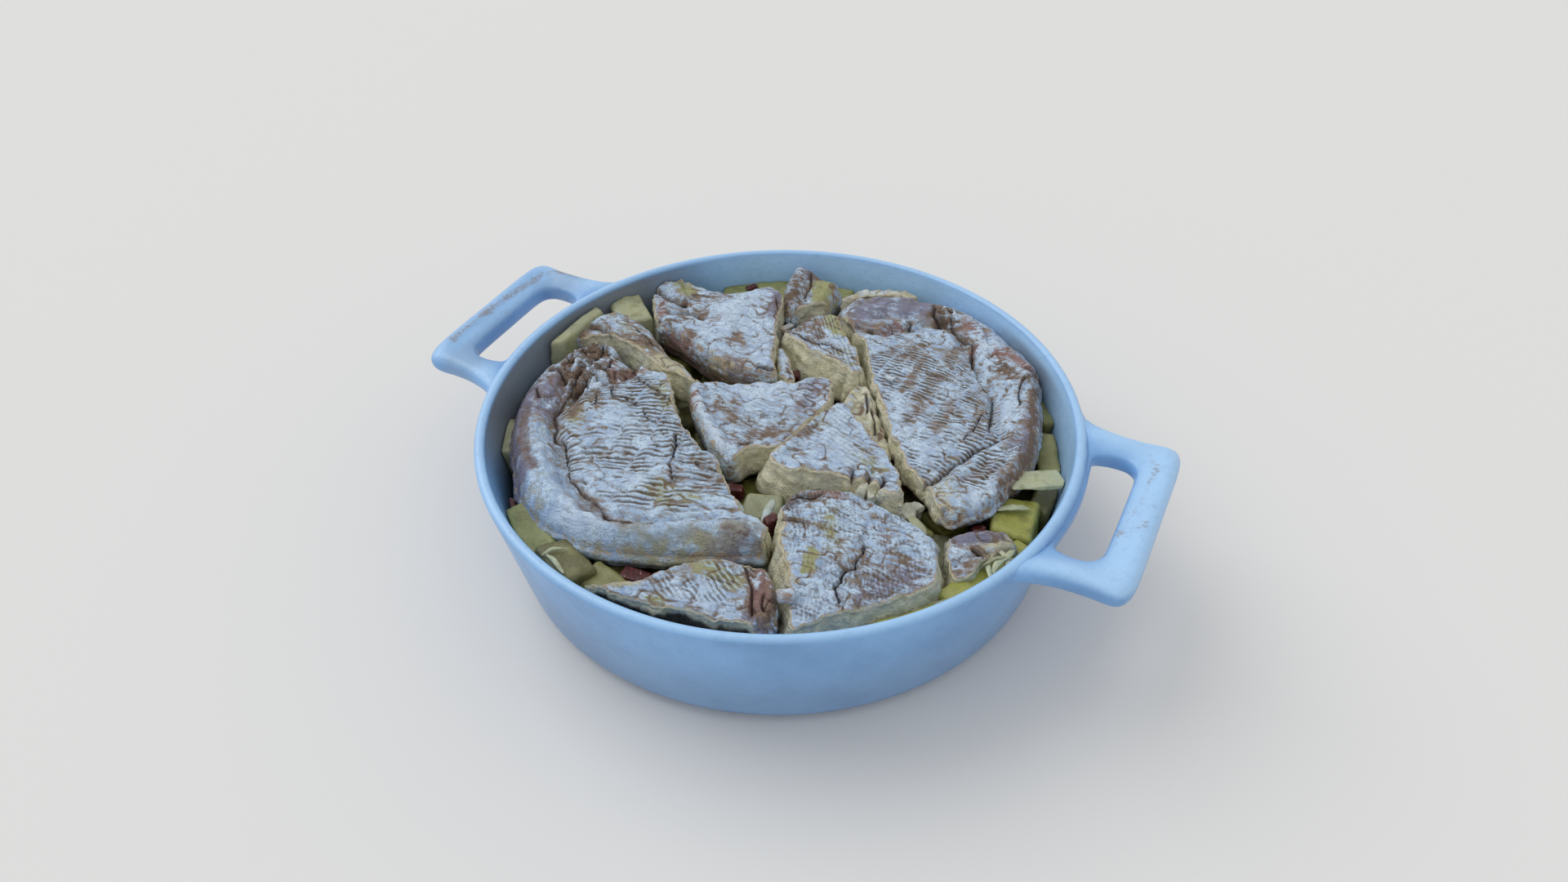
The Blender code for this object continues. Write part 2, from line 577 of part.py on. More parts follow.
def block(name, place, size, turn, lean, edge, into, material=None):
    """A cut block with softened edges; place is the middle of its top."""
    bm = bmesh.new()
    bmesh.ops.create_cube(bm, size=1.0)
    bmesh.ops.scale(bm, vec=Vector(size) * MM, verts=bm.verts)
    bmesh.ops.bevel(bm, geom=bm.edges[:], offset=edge * MM, segments=1, affect="EDGES", profile=0.6)
    mesh = bpy.data.meshes.new(name)
    bm.to_mesh(mesh)
    bm.free()
    made = add_object(name, mesh, into, material)
    made.rotation_euler = Euler((math.radians(lean), 0.0, math.radians(turn)))
    x, y, top = place
    made.location = (x * MM, y * MM, (top - size[2] / 2) * MM)
    return made


def turned_solid(name, profile, steps, into):
    """A ball whose rings are laid on a profile from the top middle to the bottom middle."""
    bm = bmesh.new()
    bmesh.ops.create_uvsphere(bm, u_segments=steps, v_segments=len(profile) + 1, radius=1.0)
    for vertex in bm.verts:
        ring = int(round(math.acos(max(-1.0, min(1.0, vertex.co.z))) / math.pi * (len(profile) + 1)))
        radius, height = ([(0.0, profile[0][1])] + profile + [(0.0, profile[-1][1])])[ring]
        turn = math.atan2(vertex.co.y, vertex.co.x)
        vertex.co = (radius * math.cos(turn) * MM, radius * math.sin(turn) * MM, height * MM)
    mesh = bpy.data.meshes.new(name)
    bm.to_mesh(mesh)
    bm.free()
    return add_object(name, mesh, into)


def make_core(into, material):
    """The bed under the cheese: it fills the bowl to BED_TOP."""
    side = inner_profile(GAP * 2, BED_TOP)
    core = turned_solid("potato_bed", side, 48, into)
    core.data.materials.append(material)
    return core


def cheese_room(name, piece, into):
    """A plain upright block round a cheese piece, a little wider, from the bed upwards."""
    outline, outward, _, foot = even_outline(piece["sides"], 28, 1.0)
    wide = outline + outward * (1.0 + GAP + foot)[:, None]
    bm = bmesh.new()
    base = [bm.verts.new((x * MM, y * MM, (CHEESE_BASE - GAP * 0.6) * MM)) for x, y in wide]
    face = bm.faces.new(base)
    raised = bmesh.ops.extrude_face_region(bm, geom=[face])["geom"]
    up = [item for item in raised if isinstance(item, bmesh.types.BMVert)]
    bmesh.ops.translate(bm, vec=(0.0, 0.0, 30.0 * MM), verts=up)
    bmesh.ops.recalc_face_normals(bm, faces=bm.faces)
    mesh = bpy.data.meshes.new(name)
    bm.to_mesh(mesh)
    bm.free()
    return add_object(name, mesh, into)


def make_bed(into, potato):
    core = make_core(into, potato)
    dips = collection("dips")
    for x, y, depth, radius in HOLLOWS:
        dip = turned_solid("dip", [(radius * 0.7, 8.0), (radius, 0.0), (radius * 0.7, -depth * 0.7)], 10, dips)
        dip.location = (x * MM, y * MM, BED_TOP * MM)
    boolean(core, "DIFFERENCE", dips)
    remove(dips.objects)
    dice = collection("dice")
    for x, y, top, long, wide, deep, turn, lean in POTATO:
        block("die", (x, y, top), (long, wide, deep), turn, lean, POTATO_EDGE, dice)
    boolean(core, "UNION", dice)
    remove(dice.objects)
    rooms = collection("rooms")
    bowl = turned_solid("bowl_room", [(80.0, 70.0)] + inner_profile(GAP, 70.0), 64, rooms)
    boolean(core, "INTERSECT", bowl)
    remove(rooms.objects)
    for name, piece in CHEESE.items():
        cheese_room("room_" + name, piece, rooms)
    boolean(core, "DIFFERENCE", rooms)
    remove(rooms.objects)
    for x, y, top, long, wide, deep, turn in LARDON:
        grown = (long + 2 * GAP, wide + 2 * GAP, deep + 2 * GAP)
        block("room", (x, y, top + GAP), grown, turn, 0.0, LARDON_EDGE, rooms)
    boolean(core, "DIFFERENCE", rooms)
    remove(rooms.objects)
    keep_largest(core.data)
    for done in (dips, dice, rooms):
        bpy.data.collections.remove(done)
    smooth(core.data, 30.0)
    return core


def main():
    clear_scene()
    into = collection("tartiflette")
    glaze = finish("glaze", (0.30, 0.46, 0.68), 0.3)
    rind = finish("rind", (0.42, 0.45, 0.50), 0.75)
    potato = finish("potato", (0.35, 0.33, 0.10), 0.4)
    bacon = finish("bacon", (0.16, 0.04, 0.04), 0.45)
    make_dish(into, glaze)
    for name, piece in CHEESE.items():
        make_cheese(name, piece, into, rind)
    for number, (x, y, top, long, wide, deep, turn) in enumerate(LARDON, 1):
        block(f"lardon_{number}", (x, y, top), (long, wide, deep), turn, 0.0, LARDON_EDGE, into, bacon)
    for name, (x, y, top, long, wide, deep, turn) in SCRAPS.items():
        block(name, (x, y, top), (long, wide, deep), turn, 0.0, SCRAP_EDGE, into, rind)
    make_bed(into, potato)


main()
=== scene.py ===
import math

import bpy
import numpy as np
from mathutils import Matrix


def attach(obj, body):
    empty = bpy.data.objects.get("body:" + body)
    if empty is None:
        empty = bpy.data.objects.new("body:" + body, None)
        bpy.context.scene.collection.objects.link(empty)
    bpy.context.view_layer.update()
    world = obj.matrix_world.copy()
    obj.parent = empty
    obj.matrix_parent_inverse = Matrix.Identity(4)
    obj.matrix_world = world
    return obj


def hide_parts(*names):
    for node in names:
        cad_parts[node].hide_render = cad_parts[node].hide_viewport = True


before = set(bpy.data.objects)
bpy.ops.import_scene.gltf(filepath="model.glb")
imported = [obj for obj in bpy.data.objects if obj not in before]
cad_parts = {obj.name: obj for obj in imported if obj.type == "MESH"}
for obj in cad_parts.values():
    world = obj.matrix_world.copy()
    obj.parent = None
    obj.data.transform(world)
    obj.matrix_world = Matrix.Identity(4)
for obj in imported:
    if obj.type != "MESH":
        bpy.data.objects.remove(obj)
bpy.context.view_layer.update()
mm = 0.001
print("frame loaded")

grains = {}  # one block of random numbers for each seed
grainSize = 32  # numbers along each side of such a block
goldenAngle = 2.39996  # radians from one scattered die to the next


# Random numbers from -1 to 1 on a lattice of the given size, blended smoothly between its corners.
def softNoise(points, size, seed):
    if seed not in grains:
        grains[seed] = np.random.default_rng(seed).uniform(-1.0, 1.0, (grainSize,) * 3)
    grain = grains[seed]
    scaled = points / size + 7.3 * seed
    cell = np.floor(scaled).astype(int)
    part = scaled - cell
    part = part * part * (3.0 - 2.0 * part)
    total = 0.0
    for corner in range(8):
        step = np.array([corner & 1, corner >> 1 & 1, corner >> 2 & 1])
        weight = np.prod(np.where(step, part, 1.0 - part), axis=-1)
        at = (cell + step) % grainSize
        total = total + weight * grain[at[..., 0], at[..., 1], at[..., 2]]
    return total


# softNoise at halving sizes and strengths, added up.
def roughNoise(points, size, seed, octaves=3):
    return sum(softNoise(points, size / 2**k, seed + k) / 2**k for k in range(octaves))


# Sharp creases where rough noise passes through zero: 1 on a crease, falling to about -1 away from it.
def creaseNoise(points, size, seed, octaves=3):
    return 1.0 - 2.0 * np.abs(roughNoise(points, size, seed, octaves))


# 0 below low, 1 above high and a smooth S between; low may be the larger.
def smoothStep(low, high, value):
    share = np.clip((value - low) / (high - low), 0.0, 1.0)
    return share * share * (3.0 - 2.0 * share)


# A bell curve: 1 at no distance, 0.37 at one width and soon 0 beyond it.
def bell(distance, width, power=2):
    return np.exp(-((distance / width) ** power))


# Vectors along the last axis, each divided by its length.
def unit(vectors):
    return vectors / np.linalg.norm(vectors, axis=-1, keepdims=True)


# How far along a line in plan each of its points lies.
def lengthAlong(line):
    return np.concatenate([[0.0], np.cumsum(np.hypot(*np.diff(line, axis=0).T))])


# Distance in plan from each point to a line of straight stretches.
def lineDistance(points, line):
    line = line if len(line) > 1 else [line[0], (line[0][0] + 0.1, line[0][1])]
    nearest = np.full(points.shape[:-1], 1e9)
    for a, b in zip(np.array(line[:-1], float), np.array(line[1:], float)):
        along = np.clip(((points[..., :2] - a) @ (b - a)) / ((b - a) @ (b - a)), 0, 1)
        gap = points[..., :2] - a - along[..., None] * (b - a)
        nearest = np.minimum(nearest, np.hypot(gap[..., 0], gap[..., 1]))
    return nearest


# A smooth closed curve through the points (Catmull-Rom), as count points.
def closedSpline(points, count):
    points = np.array(points, float)
    at = np.arange(count) * len(points) / count
    cell = np.floor(at).astype(int)
    t = (at - cell)[:, None]
    p = [points[(cell + k) % len(points)] for k in (-1, 0, 1, 2)]
    return p[1] + 0.5 * t * (p[2] - p[0] + t * (2 * p[0] - 5 * p[1] + 4 * p[2] - p[3]
                             + t * (3 * (p[1] - p[2]) + p[3] - p[0])))


# Quads between neighbouring rows and columns of a grid of points, closed round where asked.
def gridQuads(rows, columns, closeRows=False, closeColumns=False, start=0):
    r = np.arange(rows if closeRows else rows - 1)[:, None]
    c = np.arange(columns if closeColumns else columns - 1)[None, :]
    a = r * columns + c
    b = r * columns + (c + 1) % columns
    d = (r + 1) % rows * columns + c
    e = (r + 1) % rows * columns + (c + 1) % columns
    return np.stack([a, b, e, d], -1).reshape(-1, 4) + start


# Faces of a closed body: a grid closed round its columns, with fans from its first and last row to the two
# points that follow it. They are turned over where the volume inside them would come out negative.
def closedFaces(points, rows, columns):
    ring, last, end = np.arange(columns), (rows - 1) * columns, rows * columns
    after = (ring + 1) % columns
    fans = np.concatenate([np.c_[np.full(columns, end), after, ring],
                           np.c_[np.full(columns, end + 1), ring + last, after + last]])
    quads = gridQuads(rows, columns, False, True)
    halves = np.concatenate([fans, quads[:, :3], quads[:, [0, 2, 3]]])
    if np.linalg.det(points[halves]).sum() < 0:
        quads, fans = quads[:, ::-1], fans[:, ::-1]
    return quads, fans


# An object in the scene for a mesh, lamp or camera.
def addObject(name, data):
    made = bpy.data.objects.new(name, data)
    bpy.context.scene.collection.objects.link(made)
    return made


# A mesh object from points in millimetres and lists of faces, with one attribute for each paint.
def makeObject(name, points, faces, material, paint=None):
    mesh = bpy.data.meshes.new(name)
    sizes = np.concatenate([np.full(len(f), f.shape[1]) for f in faces])
    corners = np.concatenate([f.reshape(-1) for f in faces])
    mesh.vertices.add(len(points))
    mesh.vertices.foreach_set("co", (points * mm).astype(np.float32).reshape(-1))
    mesh.loops.add(len(corners))
    mesh.loops.foreach_set("vertex_index", corners.astype(np.int32))
    mesh.polygons.add(len(sizes))
    mesh.polygons.foreach_set("loop_start", np.concatenate([[0], np.cumsum(sizes)[:-1]]).astype(np.int32))
    mesh.update(calc_edges=True)
    mesh.validate()
    for key, values in (paint or {}).items():
        if values.ndim == 2:
            layer = mesh.attributes.new(key, "FLOAT_COLOR", "POINT")
            opaque = np.c_[values, np.ones(len(values))]
            layer.data.foreach_set("color", opaque.astype(np.float32).reshape(-1))
        else:
            mesh.attributes.new(key, "FLOAT", "POINT").data.foreach_set("value", values.astype(np.float32))
    mesh.shade_smooth()
    mesh.materials.append(material)
    return addObject(name, mesh)


# Says which body a finished piece hangs from and hides the node that it stands for.
def settle(made, node):
    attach(made, "root")
    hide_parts(node)


# Several closed solids, each (points, quads, paint), as one list of points, quads and paints.
def joinSolids(solids):
    points, quads, paints, start = [], [], {}, 0
    keys = {key for _, _, paint in solids for key in paint}
    for p, q, paint in solids:
        points.append(p)
        quads.append(q + start)
        start += len(p)
        for key in keys:
            paints.setdefault(key, []).append(paint.get(key, np.zeros(len(p))))
    return np.concatenate(points), np.concatenate(quads), {k: np.concatenate(v) for k, v in paints.items()}


# Lets a paint be at least the given value.
def atLeast(paint, key, value):
    paint[key] = np.maximum(paint[key], value)


# A colour given as it looks on screen, 0 to 255, as Blender's linear colour.
def shown(red, green, blue):
    screen = np.array([red, green, blue]) / 255.0
    return (*np.where(screen <= 0.04045, screen / 12.92, ((screen + 0.055) / 1.055) ** 2.4), 1.0)


class Finish:  # a material with its Principled shader and short calls that add nodes
    def __init__(self, name, roughness):
        self.material = bpy.data.materials.new(name)
        self.material.use_nodes = True
        self.nodes = self.material.node_tree.nodes
        self.links = self.material.node_tree.links
        self.shader = self.nodes["Principled BSDF"]
        self.shader.inputs["Roughness"].default_value = roughness
        self.place = self.nodes.new("ShaderNodeTexCoord").outputs["Object"]

    def put(self, node, key, value):
        if isinstance(value, bpy.types.NodeSocket):
            self.links.new(value, node.inputs[key])
        elif value is not None:
            node.inputs[key].default_value = value

    # 0 to 1, features in mm, drawn out by the factors in stretch along axes turned by turn degrees about Z
    def noise(self, size, detail=3.0, roughness=0.55, stretch=None, turn=0.0, distortion=0.0):
        place = self.place
        if stretch:
            mapping = self.nodes.new("ShaderNodeMapping")
            mapping.vector_type = "TEXTURE"
            self.links.new(place, mapping.inputs["Vector"])
            mapping.inputs["Rotation"].default_value = (0.0, 0.0, math.radians(turn))
            mapping.inputs["Scale"].default_value = stretch
            place = mapping.outputs["Vector"]
        node = self.nodes.new("ShaderNodeTexNoise")
        self.put(node, "Vector", place)
        self.put(node, "Scale", 1.0 / (size * mm))
        self.put(node, "Detail", detail)
        self.put(node, "Roughness", roughness)
        self.put(node, "Distortion", distortion)
        return node.outputs["Fac"]

    def spots(self, size):  # distance to the nearest of scattered points
        node = self.nodes.new("ShaderNodeTexVoronoi")
        self.put(node, "Vector", self.place)
        self.put(node, "Scale", 1.0 / (size * mm))
        return node.outputs["Distance"]

    def painted(self, name, colour=False):
        node = self.nodes.new("ShaderNodeAttribute")
        node.attribute_name = name
        return node.outputs["Color" if colour else "Fac"]

    def step(self, value, low, high, least=0.0, most=1.0):  # smooth step from least to most
        node = self.nodes.new("ShaderNodeMapRange")
        node.interpolation_type = "SMOOTHSTEP"
        for key, number in (("Value", value), ("From Min", low), ("From Max", high), ("To Min", least),
                            ("To Max", most)):
            self.put(node, key, number)
        return node.outputs["Result"]

    def maths(self, operation, a, b=None):
        node = self.nodes.new("ShaderNodeMath")
        node.operation = operation
        self.put(node, 0, a)
        self.put(node, 1, b)
        return node.outputs[0]

    def plus(self, a, b):
        return self.maths("ADD", a, b)

    def minus(self, a, b):
        return self.maths("SUBTRACT", a, b)

    def times(self, a, b):
        return self.maths("MULTIPLY", a, b)

    def total(self, *terms):  # sum of (value, weight) pairs
        whole = 0.0
        for value, weight in terms:
            whole = self.plus(self.times(value, weight), whole)
        return whole

    def mix(self, share, below, above):
        node = self.nodes.new("ShaderNodeMix")
        node.data_type = "RGBA"
        self.put(node, 0, share)
        self.put(node, 6, below)
        self.put(node, 7, above)
        return node.outputs[2]

    def colour(self, value):
        self.put(self.shader, "Base Color", value)

    def bump(self, height, distance, strength):  # relief too fine for the mesh, in mm
        node = self.nodes.new("ShaderNodeBump")
        self.put(node, "Height", height)
        self.put(node, "Distance", distance * mm)
        self.put(node, "Strength", strength)
        self.links.new(node.outputs["Normal"], self.shader.inputs["Normal"])


# colours as they look in even light, 0 to 255; gap and dark are painted shade, and groove is partly painted
# shade
rindTones = {
    "bloom": (206, 231, 255), "dusk": (160, 187, 222), "ground": (134, 128, 124), "tan": (158, 142, 124),
    "groove": (100, 90, 76), "brown": (122, 103, 88), "cream": (196, 192, 166), "olive": (164, 166, 120),
    "white": (230, 243, 255), "violet": (134, 134, 156), "rust": (146, 116, 110), "flesh": (230, 227, 200),
    "fleshDeep": (190, 184, 148), "gap": (138, 124, 80), "dark": (40, 32, 30), "edge": (182, 162, 138),
    "band": (170, 181, 181), "fleshCool": (210, 214, 204),
}
bareTones = [("brown", 0.17), ("rust", 0.11), ("olive", 0.14), ("cream", 0.1), ("violet", 0.16),
             ("mottle", 0.13), ("white", -0.14)]  # how much each paint wears the bloom off
# pale is the colour of painted light on the rim top and far wall, shade the colour of painted shade
glazeTones = {
    "deep": (112, 160, 212), "light": (130, 181, 234), "pale": (172, 212, 249), "shade": (114, 124, 136),
    "fleck": (104, 136, 182), "worn": (132, 124, 122), "soot": (90, 78, 76), "smear": (138, 146, 96),
}
potatoMarks = {
    "dry": (172, 172, 122), "moist": (104, 100, 44), "fleck": (106, 104, 60), "eye": (74, 64, 38),
}
baconTones = {"dark": (62, 20, 24), "meat": (112, 40, 42), "fat": (150, 120, 116)}


# Every colour of a dictionary as Blender's linear colour.
def shownAll(tones):
    return {key: shown(*value) for key, value in tones.items()}


# Brown ground with the painted tones, over it a white bloom that is worn off in streaks along the ribs, or in
# broad patches where calm is painted; then the ribs' grooves and crests, partly painted shade and painted
# highlight, veins, cut cheese with painted shade low down, and dark painted shade in cracks, creases and
# gaps.
def rindFinish():
    f = Finish("rindFinish", 0.72)
    tone = shownAll(rindTones)
    broad = f.noise(8.0, 4.0, 0.6)
    middle = f.noise(2.8, 4.0, 0.6)
    fine = f.noise(0.9, 3.0, 0.62)
    streak = f.noise(1.7, 5.0, 0.66, stretch=(2.6, 1.0, 1.0), turn=8.0, distortion=0.35)
    calm = f.painted("calm")
    colour = f.mix(f.step(middle, 0.4, 0.62), tone["tan"], tone["ground"])
    colour = f.mix(f.times(calm, 0.75), colour, tone["band"])
    patch = f.total((middle, 0.9), (fine, 0.4))  # about 0.65 on average
    for key in ("violet", "olive", "cream", "brown", "rust"):
        spread = f.plus(f.painted(key), f.minus(patch, 0.65))
        colour = f.mix(f.step(spread, 0.1, 0.7, 0.0, 0.95), colour, tone[key])
    streaky = f.total((streak, 0.62), (broad, 0.28), (fine, 0.1))
    patchy = f.total((f.noise(6.0, 3.5, 0.5), 0.8), (middle, 0.2))
    patchy = f.total((patchy, 0.75), (1.0, 0.135))  # softer edges
    field = f.plus(f.times(patchy, calm), f.times(streaky, f.minus(1.0, calm)))
    bare = f.total(*[(f.painted(key), weight) for key, weight in bareTones], (1.0, -0.075))
    field = f.minus(field, bare)
    bloom = f.mix(f.step(f.total((broad, 0.5), (middle, 0.5)), 0.4, 0.6), tone["dusk"], tone["bloom"])
    bloom = f.mix(f.times(f.painted("white"), 0.6), bloom, tone["white"])
    colour = f.mix(f.step(field, 0.38, 0.53, 0.0, 0.94), colour, bloom)
    rows = f.maths("COSINE", f.painted("ribPhase"))
    columns = f.maths("COSINE", f.painted("dotPhase"))
    dots = f.total((rows, 0.5), (columns, 0.5))
    dotted = f.painted("dotted")
    wave = f.plus(f.times(dots, dotted), f.times(rows, f.minus(1.0, dotted)))
    share = f.painted("ribShare")
    uneven = f.total((middle, 1.6), (fine, 1.0), (1.3, -1.0))
    calmer = f.times(wave, f.minus(1.0, f.times(dotted, 0.5)))
    ragged = f.total((calmer, 1.0), (f.times(uneven, f.plus(1.0, dotted)), 1.0))
    # the rib grooves darker and crests lighter: the rind's own brown grooves and white bloom, partly painted
    # shade and painted highlight
    deep = f.times(f.step(ragged, 0.25, -0.6), share)
    crest = f.times(f.step(ragged, 0.1, 0.9, 0.0, 0.5), share)
    colour = f.mix(crest, colour, tone["bloom"])
    colour = f.mix(f.times(deep, f.minus(0.85, f.times(dotted, 0.2))), colour, tone["groove"])
    vein = f.maths("ABSOLUTE", f.minus(f.noise(3.4, 4.0, 0.6, distortion=0.6), 0.5))
    vein = f.times(f.step(vein, 0.02, 0.003, 0.0, 0.7), f.step(broad, 0.46, 0.6))
    colour = f.mix(vein, colour, tone["groove"])
    grain = f.noise(0.5, 2.0, 0.6)
    speckle = f.times(f.step(f.total((grain, 0.6), (middle, 0.4)), 0.56, 0.68), f.painted("speckle"))
    colour = f.mix(f.times(speckle, 0.7), colour, tone["groove"])
    edge = f.plus(f.painted("edge"), f.times(f.minus(middle, 0.5), 2.6))
    colour = f.mix(f.step(edge, 0.4, 0.9, 0.0, 0.9), colour, tone["edge"])
    curd = f.total((f.noise(4.0, 4.0, 0.6), 0.7), (fine, 0.3))
    flesh = f.mix(f.step(curd, 0.42, 0.66), tone["flesh"], tone["fleshDeep"])
    flesh = f.mix(f.step(broad, 0.44, 0.6, 0.0, 0.5), flesh, tone["fleshCool"])
    # painted shade: the cut cheese turns to the gap colour low down and underneath
    flesh = f.mix(f.painted("deep"), flesh, tone["gap"])
    colour = f.mix(f.painted("cut"), colour, flesh)
    # painted shade, near black, in cracks, the deepest creases and the gap under each piece
    f.colour(f.mix(f.painted("dark"), colour, tone["dark"]))
    f.put(f.shader, "Specular IOR Level", 0.3)
    ribs = f.times(f.times(wave, share), 0.25)
    f.bump(f.total((fine, 1.0), (grain, 0.4), (streak, 1.2), (middle, 0.8), (ribs, 1.0)), 0.8, 1.0)
    return f.material


# Blue glaze, paler where light is painted and greyer where shade is painted; where it is worn the brown body
# shows, with soot in its pits.
def glazeFinish():
    f = Finish("glazeFinish", 0.34)
    tone = shownAll(glazeTones)
    fine = f.noise(2.6, 4.0, 0.65)
    colour = f.mix(f.step(f.noise(45.0, 4.0, 0.6), 0.35, 0.68), tone["deep"], tone["light"])
    # painted light: the rim top and the far and right inner wall turn paler
    colour = f.mix(f.painted("pale"), colour, tone["pale"])
    colour = f.mix(f.painted("shade"), colour, tone["shade"])
    colour = f.mix(f.step(fine, 0.5, 0.85, 0.0, 0.3), colour, tone["fleck"])
    scratch = f.total((f.noise(1.2, 5.0, 0.75), 0.7), (f.noise(7.0, 4.0, 0.6), 0.5))  # about 0.6 on average
    worn = f.plus(f.painted("wear"), f.times(f.minus(scratch, 0.6), 2.6))
    colour = f.mix(f.step(worn, 0.45, 1.05, 0.0, 0.75), colour, tone["worn"])
    soot = f.noise(0.8, 4.0, 0.7)
    sooty = f.times(f.step(soot, 0.64, 0.74), f.step(worn, 0.3, 0.8, 0.0, 0.7))
    colour = f.mix(sooty, colour, tone["soot"])
    f.colour(f.mix(f.step(f.painted("smear"), 0.35, 0.6), colour, tone["smear"]))
    f.put(f.shader, "Coat Weight", 0.15)
    f.put(f.shader, "Coat Roughness", 0.3)
    f.bump(f.total((fine, 1.0), (f.noise(9.0, 2.0), 1.5), (soot, 0.3)), 0.35, 0.7)
    return f.material


# Each piece's own tint, with drier and moister patches, flecks and small eyes.
def potatoFinish():
    f = Finish("potatoFinish", 0.34)
    tone = shownAll(potatoMarks)
    tint = f.painted("tint", colour=True)
    fine = f.noise(1.1, 4.0, 0.6)
    colour = f.mix(f.step(f.noise(8.0, 4.0, 0.55), 0.4, 0.72, 0.0, 0.5), tint, tone["dry"])
    colour = f.mix(f.step(f.noise(5.0, 3.0, 0.5), 0.5, 0.72, 0.0, 0.5), colour, tone["moist"])
    colour = f.mix(f.step(fine, 0.45, 0.8, 0.0, 0.3), colour, tone["fleck"])
    f.colour(f.mix(f.step(f.spots(6.0), 0.07, 0.02, 0.0, 0.7), colour, tone["eye"]))
    f.put(f.shader, "Subsurface Weight", 0.2)
    f.put(f.shader, "Subsurface Radius", (0.005, 0.005, 0.002))
    f.bump(f.total((fine, 1.0), (f.noise(0.5, 2.0), 0.4), (f.noise(4.0, 3.0), 1.5)), 0.4, 0.7)
    return f.material


# Dark cured meat with streaks of fat.
def baconFinish():
    f = Finish("baconFinish", 0.36)
    tone = shownAll(baconTones)
    streak = f.noise(2.4, 3.0, 0.6, stretch=(1.0, 1.0, 0.4), distortion=0.6)
    fine = f.noise(0.8, 3.0, 0.6)
    colour = f.mix(f.step(fine, 0.4, 0.75), tone["dark"], tone["meat"])
    f.colour(f.mix(f.step(streak, 0.58, 0.68, 0.0, 0.8), colour, tone["fat"]))
    f.bump(f.total((streak, 1.0), (fine, 0.5)), 0.5, 0.8)
    return f.material


rind, glaze, potato, bacon = rindFinish(), glazeFinish(), potatoFinish(), baconFinish()
print("finishes made")

dish = {
    "rimRadius": 115.0, "rimHeight": 56.0, "footRadius": 105.0, "footRounding": 6.0, "floor": 5.0,
    "wall": 4.0, "lean": 0.18, "corner": 12.0, "steps": 384, "fillet": 3.2,
    "earOffset": 1.5, "leftReach": (-0.7, 2.3), "earBottom": 47.5, "earSteps": 220, "earRing": 44,
    "top": 58.0, "earReach": 144.2, "smear": (53.0, -95.0, 34.0), "smearSize": (3.4, 2.6, 2.0),
    "wear": [(0.6, 2.0, [(133, 33), (137, 26), (135.5, 8), (132.5, -12), (131.5, -22)]),
             (0.85, 2.6, [(-120, 41), (-133, 38), (-137.5, 33), (-139.5, 0), (-139, -26)])],
    "hole": [(131.2, 0), (131.2, 11), (131.0, 19.5), (129.8, 24.2), (126.5, 26.8), (122.5, 27.4),
             (118.0, 26.6), (115.0, 24.4), (115.6, 19.0), (116.8, 9.0), (117.2, 0)],
    "edge": [(144.2, 0), (144.2, 17), (144.0, 30), (142.9, 36.4), (139.8, 39.6), (131.0, 39.3),
             (121.0, 39.9), (111.5, 42.2), (102.3, 46.0), (108.0, 30.0), (112.3, 0)],
    "crest": [58.0, 58.0, 57.9, 57.7, 57.3, 56.8, 56.4, 55.8, 55.0, 55.0, 55.0],
    "section": [(0.0, 0.35), (0.02, 0.66), (0.14, 0.79), (0.42, 0.9), (0.66, 1.0), (0.87, 0.95), (1.0, 0.7),
                (0.94, 0.28), (0.68, 0.04), (0.32, 0.0), (0.08, 0.06)],
}


# The leaning wall's outside at a height.
def outerRadius(z):
    return dish["rimRadius"] - dish["lean"] * (dish["rimHeight"] - dish["wall"] / 2 - z)


# The bowl's inside: the leaning wall, with a quarter round where it meets the floor.
def innerRadius(z):
    wall = outerRadius(z) - dish["wall"]
    dip = np.clip(dish["corner"] - np.maximum(z - dish["floor"], 0.0), 0.0, dish["corner"])
    return wall - dish["corner"] + np.sqrt(np.maximum(dish["corner"] ** 2 - dip**2, 0.0))


# Draws points in to a gap from the bowl's inside and lifts them to the same gap over its floor.
def insideBowl(points, gap=0.5):
    limit = innerRadius(points[:, 2]) - gap
    reach = np.hypot(points[:, 0], points[:, 1])
    points[:, :2] *= np.minimum(1.0, limit / np.maximum(reach, 1e-6))[:, None]
    points[:, 2] = np.maximum(points[:, 2], dish["floor"] + gap)
    return points


# The section from the middle of the base, up the outside, over the round rim and down to the floor.
def dishProfile():
    lip, half, foot = dish["rimHeight"] - dish["wall"] / 2, dish["wall"] / 2, dish["footRounding"]
    turn = np.radians(np.linspace(-90, -10, 10))
    base = np.c_[np.linspace(2.0, dish["footRadius"] - foot, 8), np.zeros(8)]
    under = np.c_[dish["footRadius"] - foot + foot * np.cos(turn), foot + foot * np.sin(turn)]
    z = np.linspace(under[-1, 1] + 1.2, lip - 0.6, 42)
    outside = np.c_[outerRadius(z), z]
    turn = np.radians(np.linspace(0, 180, 15))
    rim = np.c_[dish["rimRadius"] - half + half * np.cos(turn), lip + half * np.sin(turn)]
    z = np.concatenate([np.linspace(lip - 0.8, 17.2, 34), np.linspace(16.6, dish["floor"], 12)])
    inside = np.c_[innerRadius(z), z]
    floor = np.c_[np.linspace(inside[-1, 0] - 4.0, 2.0, 8), np.full(8, dish["floor"])]
    return np.concatenate([base, under, outside, rim, inside, floor])


